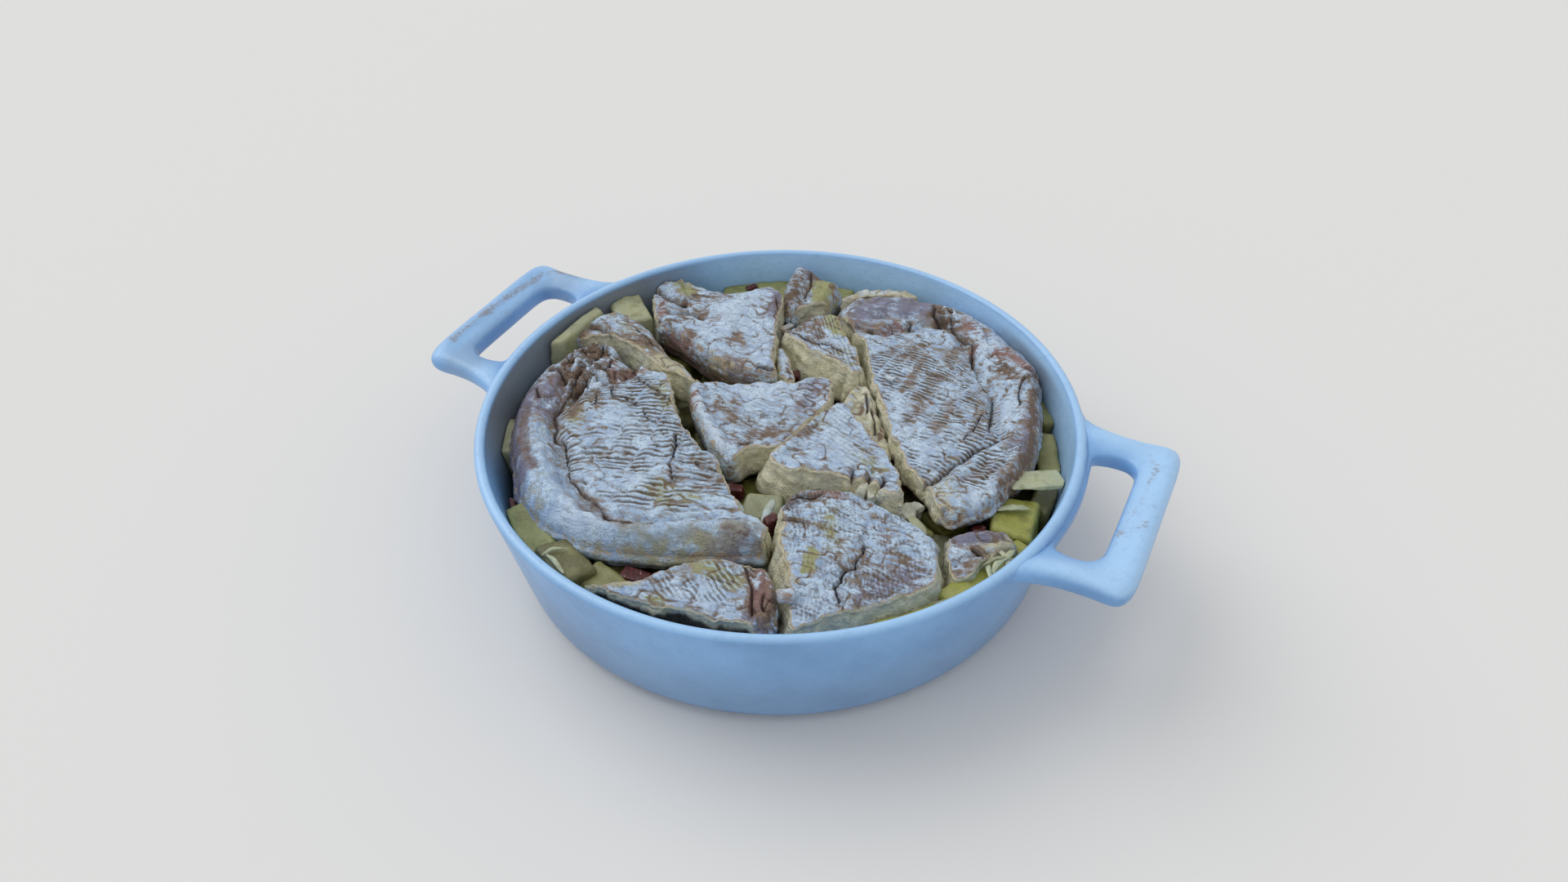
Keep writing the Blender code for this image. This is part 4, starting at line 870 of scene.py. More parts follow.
            ("rust", 2.0, 0.6, [(12, 3), (14, 8)]), ("violet", 4.0, 0.3, [(14, -6), (18, -16)]),
        ],
    ),
    "wedge_front": dict(
        sides=[
            ("rind", 0, [(24, -46.5), (24.5, -39.5), (28.5, -33), (35, -28.8), (43, -27.2), (52, -27.6),
                (60, -29.3), (69, -31.4), (77.5, -34.5)]),
            ("cut", 0, [(81, -40), (83, -47), (85, -54), (82, -59), (77, -64), (71, -69), (64, -76),
                (58, -81), (55.5, -87), (52, -91), (48.5, -86), (46, -80), (41.5, -73), (37, -67),
                (32, -61.5), (29.5, -57), (28, -51.5)]),
        ],
        level=50.0, tilt=(-0.03, 0.05), shoulder=3.5, tips=((26, -46), (52, -91)), grid=(250, 190),
        sideBrown=0.4, sideCream=0.3, mottle=0.4, speckle=0.9, slump=4.4,
        folds=[
            (-1.1, 1.3, [(55, -38), (57, -46), (58, -52)]), (1.5, 8.0, [(40, -45), (48, -70)]),
            (1.2, 1.8, [(53, -46), (54.5, -56), (53, -66)]), (1.0, 3.0, [(64, -52), (66, -64)]),
            (1.4, 1.8, [(28, -36), (24, -44), (28, -48)]), (-1.3, 1.4, [(34, -34), (28, -41), (27, -46)]),
        ],
        cracks=[
            (1.9, 0.5, [(57, -48), (59.2, -52.5), (58, -56), (59.4, -58.5), (56.4, -62), (57.6, -66),
                (56.8, -69.5), (60.4, -74)]),
            (1.5, 0.6, [(23, -49), (29, -50.5), (35, -49.5)]),
            (0.9, 0.4, [(34, -33), (28, -39), (25, -42)]),
        ],
        ribs=dict(spacing=1.8, height=0.22, turn=3, dash=5.0, dotted=True),
        paint=[
            ("olive", 1.9, 2.4, [(44.5, -62), (45.5, -66)]), ("rust", 3.0, 0.7, [(34, -33), (40, -31)]),
            ("violet", 7.0, 0.75, [(66, -66), (76, -54)]), ("olive", 6.0, 0.55, [(42, -44), (48, -52)]),
            ("cream", 2.0, 0.7, [(31, -58), (38, -68), (44, -76)]),
            ("brown", 3.5, 0.5, [(52, -56), (56, -60)]), ("white", 6.0, 0.5, [(52, -82), (56, -74)]),
            ("violet", 4.0, 0.4, [(26, -44), (32, -38)]), ("rust", 2.5, 0.5, [(62, -42), (66, -40)]),
        ],
    ),
    "wedge_front_left": dict(
        sides=[
            ("cut", 0, [(-20.5, -102.3), (-16, -100.6), (-10.5, -98), (-5, -95), (-1, -90.8), (5, -84.5),
                (11, -80.3), (15, -77.7), (22, -75.8), (29, -75.2), (34, -74)]),
            ("rind", 0, [(39, -78), (43, -84), (45.5, -91.5)]),
            ("cut", 0, [(40, -94.5), (33, -95.5), (25, -97), (15, -98.5), (6, -100), (-3, -101.5),
                (-10, -102.5)]),
        ],
        level=48.0, tilt=(0.02, 0.2), shoulder=3.0, tips=((-20.5, -102.5), (45.5, -91.5)), grid=(220, 130),
        base=(2.0, 0.0, 0.1), sideBrown=0.7, sideCream=0.0, mottle=0.6, shut=0.12,
        crumple=[(0.9, 5.0, [(34, -76), (40, -88)])],
        folds=[
            (-1.4, 1.3, [(30, -76), (35, -84), (38, -92)]), (1.4, 2.6, [(34, -77), (40, -84), (43, -90)]),
            (-0.9, 1.2, [(36, -78), (41, -88)]), (0.8, 2.0, [(-14, -101), (0, -94)]),
        ],
        cracks=[(1.2, 0.5, [(27, -76), (34, -84), (38, -91)]), (0.9, 0.5, [(38, -84), (41, -89)])],
        ribs=dict(
            spacing=1.75, height=0.3, turn=-27, dash=4.0, share=0.8, arcs=(6.0, 0.5),
            inside=[(0, -86), (-6, -94), (8, -96), (28, -91), (33, -80), (32, -72), (10, -74)],
        ),
        paint=[
            ("olive", 4.0, 0.65, [(14, -82), (28, -82)]), ("rust", 4.0, 0.7, [(33, -76), (39, -86)]),
            ("brown", 4.0, 0.6, [(38, -80), (43, -90)]), ("violet", 3.5, 0.7, [(38, -91), (43, -94)]),
            ("white", 5.0, 0.5, [(4, -95), (28, -93)]), ("brown", 3.0, 0.6, [(16, -95), (22, -97)]),
            ("olive", 3.0, 0.6, [(2, -99), (8, -99)]), ("cream", 2.5, 0.8, [(-20, -102), (-4, -95)]),
        ],
    ),
    "scrap_right": dict(
        sides=[
            ("rind", 0, [(79.8, -31.2), (81.2, -27.6), (88.2, -23.6), (96, -18.9), (100.5, -19.4),
                (103.4, -23.6)]),
            ("cut", 0, [(97.5, -27.6), (95, -34), (94, -41), (89.2, -45.6), (85.8, -41), (83, -36)]),
        ],
        level=47.5, tilt=(0.0, 0.08), shoulder=2.5, tips=((80, -31), (103, -23.6)), grid=(110, 90),
        sideBrown=0.8, mottle=0.6,
        folds=[
            (1.4, 2.2, [(84, -27), (96, -22)]), (-1.6, 1.5, [(86, -42), (90, -34), (96, -30)]),
            (1.0, 1.6, [(93, -42), (94, -34)]),
        ],
        cracks=[(1.2, 0.6, [(90, -31), (96, -32)])],
        paint=[
            ("violet", 4.0, 0.9, [(84, -28), (96, -21)]), ("brown", 4.0, 0.5, [(84, -34), (92, -38)]),
            ("white", 3.0, 0.5, [(86, -34), (90, -42)]), ("cream", 4.0, 0.9, [(101, -22), (97, -26)]),
            ("brown", 3.0, 0.7, [(88, -42)]),
        ],
    ),
    "crumbled_wedge": dict(
        sides=[
            ("cut", 0, [(17.5, 34), (22, 35.6), (28.8, 26.8), (36, 16.6), (42, 8.2), (45, 3), (39.6, 4.9),
                (32.2, 9.9), (25.4, 15.2), (21.5, 18.4), (17.6, 22.6), (15.5, 28.4)]),
        ],
        level=45.5, tilt=(-0.06, 0.06), shoulder=2.0, tips=((17.5, 34), (45, 3)), grid=(130, 80), bare=0.85,
        folds=[(1.6, 2.4, [(24, 28), (32, 16)]), (-1.4, 1.6, [(20, 30), (28, 18)])],
        cracks=[(1.4, 0.8, [(23, 31), (28, 20)]), (1.6, 0.9, [(29, 22), (36, 11)])],
        paint=[
            ("cream", 8.0, 1.0, [(17, 32), (24, 22), (42, 6)]),
            ("white", 2.2, 0.9, [(25, 28), (31, 17), (35, 11)]), ("violet", 2.0, 0.8, [(28, 24), (36, 12)]),
            ("brown", 1.6, 0.9, [(36, 13), (37, 10)]),
        ],
    ),
    "rind_sliver": dict(
        sides=[
            ("cut", 0, [(-23, 44.6), (-19.6, 43.4), (-14.6, 37.6), (-9, 29.6), (-6, 24), (-9.5, 22.9),
                (-14, 26.8), (-18, 32.8), (-21.8, 38.6)]),
        ],
        level=47.0, tilt=(0.0, 0.03), shoulder=1.5, tips=((-22.8, 44), (-7.5, 23)), grid=(110, 50),
        folds=[(0.8, 1.4, [(-20, 40), (-10, 25)])],
        cracks=[],
        paint=[
            ("white", 2.4, 0.7, [(-20, 42), (-12, 29)]), ("brown", 1.6, 0.8, [(-14, 35), (-9, 26)]),
            ("rust", 1.4, 0.7, [(-10, 26), (-7, 23)]),
        ],
    ),
    "rind_strip_back": dict(
        sides=[
            ("cut", 0, [(-14.8, 87), (-12.5, 93.5), (-7, 99.6), (0, 103.2), (7, 105.6), (14, 106.2),
                (16.5, 103.4), (10.5, 100.6), (1, 97.2), (-6.5, 92.6), (-11.6, 86.6)]),
        ],
        level=48.5, tilt=(0.0, 0.0), shoulder=1.5, tips=((-14.8, 87), (16.5, 105)), grid=(140, 50),
        bare=0.5,
        folds=[(-0.8, 1.2, [(-10, 93), (0, 100), (12, 104)])],
        cracks=[],
        paint=[
            ("cream", 4.0, 1.0, [(-14, 88), (0, 100), (15, 105)]),
            ("white", 2.4, 0.7, [(-8, 96), (6, 103)]), ("rust", 1.2, 0.7, [(-12, 88), (-2, 96), (10, 101)]),
        ],
    ),
}

paintNames = ("brown", "rust", "cream", "olive", "white", "violet", "calm", "dark")
edgeCut = 1.0  # rounding of the rind's edge along a cut side
cornerBlur = 1.0  # how far the outline's corners are blurred
tangentSteps = 14  # steps each way over which the way along the outline is taken
wallGap = 0.9  # least distance of the cheese from the wall
outlineSteps = 1440
sideRows = 16


# The outline as even steps along its length, blurred at its corners and a little ragged, with the way out at
# each step, the share of rind and how far the foot stands out.
def outlineOf(piece, seed):
    points = np.array([p for _, _, run in piece["sides"] for p in run], float)
    isRind = np.array([float(kind == "rind") for kind, _, run in piece["sides"] for _ in run])
    foot = np.array([float(flare) for _, flare, run in piece["sides"] for _ in run])
    loop = np.vstack([points, points[:1]])
    length = lengthAlong(loop)
    at = np.linspace(0.0, length[-1], outlineSteps, endpoint=False)
    part = np.minimum(np.searchsorted(length, at, side="right") - 1, len(isRind) - 1)
    rows = [np.interp(at, length, loop[:, 0]), np.interp(at, length, loop[:, 1]), isRind[part], foot[part]]
    frequency = np.fft.rfftfreq(outlineSteps, d=length[-1] / outlineSteps)
    blur = np.exp(-2.0 * (math.pi * cornerBlur * frequency) ** 2)
    x, y, share, flare = (np.fft.irfft(np.fft.rfft(row) * blur, outlineSteps) for row in rows)
    if np.sum(x * np.roll(y, -1) - y * np.roll(x, -1)) < 0:
        x, y, share, flare = x[::-1], y[::-1], share[::-1], flare[::-1]
    outline = np.stack([x, y], 1)
    along = unit(np.roll(outline, -tangentSteps, 0) - np.roll(outline, tangentSteps, 0))
    outward = np.stack([along[:, 1], -along[:, 0]], 1)
    ragged = 0.95 * roughNoise(np.c_[outline, np.zeros(outlineSteps)], 4.6, seed + 20, 3) - 0.2  # in mm
    outline = outline + outward * (ragged * (1.0 - 0.4 * np.clip(share, 0, 1)))[:, None]
    return np.column_stack([outline, outward, np.clip(share, 0, 1), flare])


# The two runs of the outline from one tip to the other, each as even steps that close up at the tips.
def twoRuns(piece, values, steps):
    start, stop = (int(np.argmin(np.hypot(*(values[:, :2] - tip).T))) for tip in piece["tips"])
    runs = []
    for way in (1, -1):
        reach = (stop - start) * way % len(values)
        run = values[(start + way * np.arange(reach + 1)) % len(values)]
        length = lengthAlong(run[:, :2])
        share = np.linspace(0.0, 1.0, steps + 2)[1:-1]
        share = 0.45 * share + 0.55 * (0.5 - 0.5 * np.cos(math.pi * share))
        run = np.column_stack([np.interp(share * length[-1], length, column) for column in run.T])
        run[:, 2:4] = unit(run[:, 2:4])
        runs.append(run)
    return runs, values[[start, stop], :2]


# For each point the row of the nearest step of the outline.
def nearestRow(points, outline):
    best = np.empty(len(points), int)
    for k in range(0, len(points), 4000):
        gap = points[k:k + 4000, None] - outline[None]
        best[k:k + 4000] = (gap**2).sum(-1).argmin(1)
    return best


# 1 inside a closed line and 0 outside it, over softness millimetres.
def insideShare(points, line, softness):
    loop = np.array(line + line[:1], float)
    inside = np.zeros(points.shape[:-1], bool)
    for (x0, y0), (x1, y1) in zip(loop[:-1], loop[1:]):
        if y0 != y1:
            crosses = (points[..., 1] > min(y0, y1)) & (points[..., 1] <= max(y0, y1))
            inside ^= crosses & (points[..., 0] < x0 + (points[..., 1] - y0) * (x1 - x0) / (y1 - y0))
    gap = lineDistance(points, list(map(tuple, loop)))
    return smoothStep(-softness, softness, np.where(inside, gap, -gap))


# Fine ribs: a cosine across the rib direction, whose lines bend beside a given line, wander with noise and
# break up into dashes. Gives the height, the phases for the finish and where ribs are.
def ribRelief(piece, at):
    none = np.zeros(at.shape[:-1])
    ribs = piece.get("ribs")
    if not ribs:
        return none, none, none, none
    turn = math.radians(ribs["turn"])
    across = at[..., 1] * math.cos(turn) - at[..., 0] * math.sin(turn)
    along = at[..., 0] * math.cos(turn) + at[..., 1] * math.sin(turn)
    if ribs.get("line"):
        across = across + ribs["bend"] * np.exp(-lineDistance(at, ribs["line"]) / ribs["over"])
    drift = np.stack([0.4 * along, across, none], -1)
    across = across + 1.5 * softNoise(drift, 9.0, 31) + 0.5 * softNoise(drift, 3.4, 32)
    across = across + 0.2 * softNoise(at, 1.7, 35)
    broken = 1.0
    if ribs.get("arcs"):
        wide, rise = ribs["arcs"]
        column = along / wide + 0.35 * softNoise(at, 11.0, 37) + 0.08 * softNoise(at, 3.0, 38)
        column = column - np.floor(column)
        across = across + rise * np.exp(-4.0 * column)
        broken = smoothStep(0.0, 0.1, column) * smoothStep(1.0, 0.94, column)
    rows = math.tau * across / ribs["spacing"]
    columns = math.tau * (along + 0.9 * softNoise(at, 3.0, 30)) / (ribs["spacing"] * 0.95) + 0.5 * rows
    dash = softNoise(np.stack([along / ribs["dash"], across / (ribs["spacing"] * 1.15), none], -1), 1.0, 36)
    dash = dash + 0.7 * softNoise(at, 12.0, 33) + 0.2 * softNoise(at, 2.5, 34)
    share = ribs.get("share", 1.0) * broken * smoothStep(-0.6, 0.5, dash)
    if ribs.get("inside"):
        share = share * insideShare(at, ribs["inside"], 1.6)
    wave = 0.5 + 0.5 * np.cos(rows + 0.5 * np.sin(rows))
    if ribs.get("dotted"):
        wave = wave * 0.5 + 0.25 + 0.25 * np.cos(columns)
    height = ribs["height"] * share * (wave**0.55 - 0.65)
    return height, rows, columns, share


# Height of the rind's face: its level and tilt, folds, crumpled places, broad waves, ribs, cracks and fine
# creases. Gives also the paint that goes with them, with painted shade in the cracks and deepest creases.
def faceRelief(piece, at, middle, seed):
    none = np.zeros(at.shape[:-1])
    shift = np.stack([roughNoise(at, 4.5, seed + 1, 3), roughNoise(at, 4.5, seed + 5, 3), none], -1)
    wander = at + shift * 0.75  # folds and cracks waver a little
    height = piece["level"] + (at[..., :2] - middle) @ np.array(piece["tilt"])
    for rise, width, line in piece["folds"]:
        height = height + rise * bell(lineDistance(wander, line), width)
    paint = {key: none for key in paintNames}
    blot = at + np.stack([roughNoise(at, 5.0, seed + 3), roughNoise(at, 5.0, seed + 6), none], -1) * 1.8
    for key, width, strength, line in piece["paint"]:
        atLeast(paint, key, strength * bell(lineDistance(blot, line), width))
    for rise, width, line in piece.get("crumple", []):
        where = bell(lineDistance(at, line), width, 4)
        creased = 0.6 * creaseNoise(at, 7.0, seed + 9, 3) + 0.4 * creaseNoise(at, 2.8, seed + 10, 2)
        height = height + rise * where * (0.55 - np.maximum(creased, -0.6))
        # painted shade, near black, in the deepest crumpled creases
        atLeast(paint, "dark", 0.8 * where * smoothStep(0.62, 0.88, creased))
        atLeast(paint, "brown", where * smoothStep(-0.1, 0.6, creased))
        atLeast(paint, "white", where * smoothStep(0.0, -0.6, creased))
    height = height + 0.75 * softNoise(at, 12.0, seed + 12) + 0.55 * roughNoise(at, 4.5, seed + 13, 4)
    crease = smoothStep(0.7, 1.0, creaseNoise(at * (1.0, 1.6, 1.0), 9.0, seed + 15, 2))
    crease = crease * (1.0 - np.minimum(paint["calm"], 1.0))
    height = height - 0.5 * crease
    atLeast(paint, "brown", 0.6 * crease)
    for depth, width, line in piece["cracks"]:
        gap = lineDistance(wander, line)
        width = width * (0.6 + 0.5 * np.clip(softNoise(at, 3.5, seed + 16) + 0.5, 0.0, 1.2))
        opened = bell(gap, width)
        height = height - depth * opened + 0.4 * bell(gap - 2.2 * width, 1.4 * width)
        # painted shade, near black, inside the crack
        atLeast(paint, "dark", 0.85 * smoothStep(0.5, 0.95, opened))
        atLeast(paint, "brown", 0.5 * bell(gap, 1.8))
    ribs, paint["ribPhase"], paint["dotPhase"], paint["ribShare"] = ribRelief(piece, at)
    return height + ribs, paint


# Height of the underside above each point: flat on the bed, or lifted where the piece leans.
def underside(piece, at, middle):
    lift, alongX, alongY = piece.get("base", (0.0, 0.0, 0.0))
    return np.maximum(cheeseBase, cheeseBase + lift + (at - middle) @ np.array([alongX, alongY]))


# Upright sections carried from one tip of the outline to the other: up one side, over the rind, whose edge is
# rounded by the distance to the outline, down the other side and back along the underside.
def cheeseSolid(piece, seed):
    steps, across = piece["grid"]
    values = outlineOf(piece, seed)
    middle = values[:, :2].mean(axis=0)
    (first, second), tips = twoRuns(piece, values, steps)
    over = np.linspace(0.0, 1.0, across)
    over = 0.8 * over + 0.2 * (0.5 - 0.5 * np.cos(math.pi * over))
    down = np.linspace(0.0, 1.0, sideRows + 1)[1:]
    back = np.array([0.7, 0.4, 0.15])  # places on the way back along the underside
    plan = first[:, None, :2] * (1 - over[:, None]) + second[:, None, :2] * over[:, None]
    near = nearestRow(plan.reshape(-1, 2), values[::3, :2]).reshape(plan.shape[:-1]) * 3
    close = values[near]
    inset = np.maximum(((close[..., :2] - plan) * close[..., 2:4]).sum(-1), 0.0)
    width = edgeCut + (piece["shoulder"] - edgeCut) * close[..., 4]
    slope = np.clip(1.0 - inset / width, 0.0, 1.0)
    drop = 0.9 * width * (1.0 - np.sqrt(1.0 - 0.98 * slope**2))  # nearly a quarter round
    at = np.concatenate([plan, np.zeros(plan.shape[:-1] + (1,))], -1)
    height, paint = faceRelief(piece, at, middle, seed)
    top = np.concatenate([plan, (height - drop)[..., None]], -1)
    paint["ribShare"] = paint["ribShare"] * smoothStep(0.2, 2.2, inset)
    paint["cut"] = (1.0 - close[..., 4]) * smoothStep(0.5, 0.1, inset)
    paint["edge"] = (0.9 - 0.35 * close[..., 4]) * smoothStep(1.5, 0.3, inset)
    paint["deep"] = 0.0 * inset
    if "bare" in piece:
        atLeast(paint, "cut", piece["bare"] * smoothStep(-0.15, 0.2, roughNoise(at, 4.0, seed + 29)))

    blocks = []
    for run, edge in ((first, 0), (second, across - 1)):
        rim, away, isRind, flare = top[:, edge], run[:, 2:4], run[:, 4], run[:, 5]
        low = rim[:, :2] + away * flare[:, None]
        foot = underside(piece, low, middle)
        z = rim[:, None, 2] * (1 - down) + foot[:, None] * down
        place = np.concatenate([np.repeat(rim[:, None, :2], sideRows, 1), z[..., None]], -1)
        curd = 0.8 * roughNoise(place * (1, 1, 1.4), 5.0, seed + 24, 4)  # crumbly cut face
        curd = curd + 0.2 * softNoise(place, 1.5, seed + 25)
        wrinkle = 0.55 * softNoise(place * (0.4, 0.4, 1.6), 3.4, seed + 26)  # skin of the wheel's side
        wrinkle = wrinkle + 0.3 * roughNoise(place, 3.2, seed + 27)
        belly = piece.get("belly", 1.2) * np.sin(math.pi * down**0.8) - 1.2 * down**3
        push = (curd - 0.2) * (1 - isRind)[:, None] + (wrinkle + belly) * isRind[:, None]
        push = np.where(down < 1, push, 0.0)
        push = push * smoothStep(0.0, 0.12, down)
        slump = (flare + piece.get("slump", 1.2) * (1 - isRind))[:, None] * down
        side = place[..., :2] + away[:, None] * (push + slump)[..., None]
        tones = {key: np.repeat(value[:, edge, None], sideRows, 1) for key, value in paint.items()}
        _, spread = faceRelief(dict(piece, folds=[], cracks=[], crumple=[], ribs=None),
                               np.concatenate([side, z[..., None]], -1), middle, seed)
        for key in paintNames[:-1]:
            tones[key] = spread[key]
        atLeast(tones, "brown", piece.get("sideBrown", 0.35) * isRind[:, None] * down)
        atLeast(tones, "cream", piece.get("sideCream", 0.2) * isRind[:, None] + 0 * down)
        tones["cut"] = (1.0 - isRind)[:, None] * smoothStep(0.0, 0.12, down)
        tones["edge"] = tones["edge"] * smoothStep(0.22, 0.06, down)
        # painted shade: the cut faces turn to the gap colour towards the foot, then dark in the gap under the
        # piece
        tones["deep"] = 0.7 * smoothStep(0.7, 1.1, down) + 0 * z
        shut = piece.get("shut", 0.82)
        gapShade = 0.4 if shut > 0.8 else 0.97  # the gap under the piece
        tones["dark"] = gapShade * smoothStep(shut, shut + 0.23, down) + 0 * z
        tones["ribShare"] = 0 * z
        blocks.append((np.concatenate([side, z[..., None]], -1), tones))
    (left, leftPaint), (right, rightPaint) = blocks
    base = right[:, -1, None] * back[:, None] + left[:, -1, None] * (1 - back[:, None])
    base[..., 2] = underside(piece, base[..., :2], middle)
    grid = np.concatenate([left[:, ::-1], top, right, base], 1)
    tones = {}
    for key, value in paint.items():
        flat = np.repeat(value[:, :1] * 0, len(back), 1)
        tones[key] = np.concatenate([leftPaint[key][:, ::-1], value, rightPaint[key], flat], 1)
    # painted shade: the underside is cut cheese in the gap colour
    tones["cut"][:, -len(back):] = 1.0
    tones["deep"][:, -len(back):] = 1.0
    poles = []
    for tip, row in zip(tips, (grid[0], grid[-1])):
        poles.append([*tip, 0.5 * (row[:, 2].max() + row[:, 2].min())])
    points = insideBowl(np.concatenate([grid.reshape(-1, 3), poles]), wallGap)
    quads, fans = closedFaces(points, steps, grid.shape[1])
    tones = {key: np.concatenate([value.reshape(-1), value[0, :1], value[-1, :1]])
             for key, value in tones.items()}
    tones["speckle"] = np.full(len(points), piece.get("speckle", 0.3))
    tones["mottle"] = np.full(len(points), piece.get("mottle", 0.5))
    tones["dotted"] = np.full(len(points), float(bool(piece.get("ribs") and piece["ribs"].get("dotted"))))
    return points, quads, fans, tones


# A node's name as one word, with a capital where each further word begins.
def sceneName(node):
    first, *rest = node.split("_")
    return first + "".join(word.capitalize() for word in rest)


cuts = {  # rounding of the edges, steps along an edge, roughness, first seed and warp of each kind of block
    "lump": (1.5, 26, 1.5, 200, 0.3), "potato": (2.0, 20, 0.5, 3, 0.1), "loose": (1.8, 12, 0.3, 50, 0.16),
    "lardon": (0.9, 22, 0.3, 120, 0.1), "scrap": (1.4, 26, 0.9, 150, 0.12),
}


# The surface of a cube, each point pulled back to an inner box and pushed out again by the edge's radius,
# its corners moved a little so that no two faces are parallel, then roughened along its own direction.
def cutBlock(size, kind, number):
    edge, count, rough, seed, warp = cuts[kind]
    seed += number
    line = np.sin(np.linspace(-1, 1, count) * math.pi / 2)
    u, v = np.meshgrid(line, line)
    one = np.ones_like(u)
    planes = ((one, u, v), (-one, v, u), (v, one, u), (u, -one, v), (u, v, one), (v, u, -one))
    sides = [np.stack(plane, -1) for plane in planes]
    half = np.array(size) / 2
    points = np.concatenate([side.reshape(-1, 3) for side in sides]) * half
    quads = np.concatenate([gridQuads(count, count, start=k * count * count) for k in range(6)])
    _, first, back = np.unique(np.round(points, 5), axis=0, return_index=True, return_inverse=True)
    points, quads = points[first], back.reshape(-1)[quads]
    edge = min(edge, half.min() * 0.8)
    inner = np.clip(points, -(half - edge), half - edge)
    away = points - inner
    away /= np.maximum(np.linalg.norm(away, axis=1, keepdims=True), 1e-9)
    shift = rough * roughNoise(points + 60.0 * seed, 6.0, seed % 7 + 3, 3) - rough * 0.3
    points = inner + away * (edge + shift[:, None])
    draw = np.random.default_rng(900 + seed)
    moves = draw.uniform(-warp, warp, (2, 2, 2, 3)) * size
    moves[..., 2] = np.minimum(moves[..., 2], 0.0) * 0.7  # the top never rises
    share = np.clip(points / half * 0.5 + 0.5, 0, 1)
    x, y, z = share[:, 0, None], share[:, 1, None], share[:, 2, None]
    for i, j, k in np.ndindex(2, 2, 2):
        points = points + moves[i, j, k] * (x if i else 1 - x) * (y if j else 1 - y) * (z if k else 1 - z)
    return points, quads


# Leans and turns a block's points and puts the middle of its top in place.
def placed(points, x, y, top, depth, turn, lean):
    spin = Matrix.Rotation(math.radians(turn), 3, "Z") @ Matrix.Rotation(math.radians(lean), 3, "X")
    return points @ np.array(spin).T + (x, y, top - depth / 2)


lumps = [  # torn curd on the side of the right wedge: middle, level of the top, length, width, depth, turn
    (37.5, -20.6, 48.6, 5.0, 3.2, 10.0, 14), (43.4, -21.2, 49.6, 3.4, 6.0, 13.0, -12),
    (48.4, -21.6, 48.8, 3.0, 6.4, 12.5, 16), (52.6, -20.4, 50.0, 4.4, 5.4, 13.5, -18),
    (57.0, -19.4, 47.0, 6.4, 4.6, 12.0, 28), (60.8, -19.0, 42.8, 6.0, 6.4, 8.4, -34),
    (53.6, -24.6, 41.8, 6.8, 3.6, 6.6, 8), (47.2, -24.6, 43.6, 5.2, 3.0, 8.0, -14),
    (62.6, -14.6, 42.6, 4.2, 5.6, 8.0, 50),
]


# One object for each piece; the right wedge also has its lumps of torn curd.
def makeCheese():
    for number, (node, piece) in enumerate(cheese.items()):
        points, quads, fans, tones = cheeseSolid(piece, 40 + 30 * number)
        if node == "wedge_right":
            extra = [(points, quads, tones)]
            for k, (x, y, top, long, wide, deep, turn) in enumerate(lumps):
                lump, faces = cutBlock((long, wide, deep), "lump", k)
                lump = placed(lump, x, y, top, deep, turn, 0.0)
                # painted shade on the lower parts of the lumps
                paint = {"cut": np.full(len(lump), 0.8), "deep": 0.4 * smoothStep(44, 37, lump[:, 2])}
                extra.append((lump, faces, paint))
            points, quads, tones = joinSolids(extra)
        settle(makeObject(sceneName(node), points, [quads, fans], rind, tones), node)


makeCheese()
print("cheese made")


# A flat strip carried along a path that arches between its ends, closed all round.
def peel(start, stop, arch, wide, thick, seed, count=26, ring=12):
    start, stop = np.array(start, float), np.array(stop, float)
    t = np.linspace(0, 1, count)[:, None]
    path = start * (1 - t) + stop * t
    run = (stop - start) / np.linalg.norm(stop - start)
    aside = np.cross(run, (0, 0, 1.0))
    bow = np.array([0, 0, arch]) * np.sin(math.pi * t)
    path = path + bow + aside * softNoise(path, 6.0, seed)[:, None] * 1.2
    turn = np.arange(ring) * math.tau / ring
    taper = np.sin(math.pi * np.clip(t, 0.02, 0.98)) ** 0.4
    wave = 0.35 * softNoise(path * 3.0, 5.0, seed + 1)[:, None]
    points = path[:, None] + aside * (np.cos(turn) * wide / 2 * taper)[..., None] \
        + np.array([0, 0, 1.0]) * (np.sin(turn) * thick / 2 * taper + wave * np.cos(turn))[..., None]
    points = np.concatenate([points.reshape(-1, 3), path[:1], path[-1:]])
    return points, *closedFaces(points, count, ring)


potatoTones = {
    "pale": (160, 164, 136), "olive": (124, 124, 74), "yellow": (158, 160, 74), "green": (130, 138, 82),
    "cream": (184, 192, 164), "curd": (190, 206, 210), "dim": (100, 98, 62), "bed": (92, 90, 52),
}

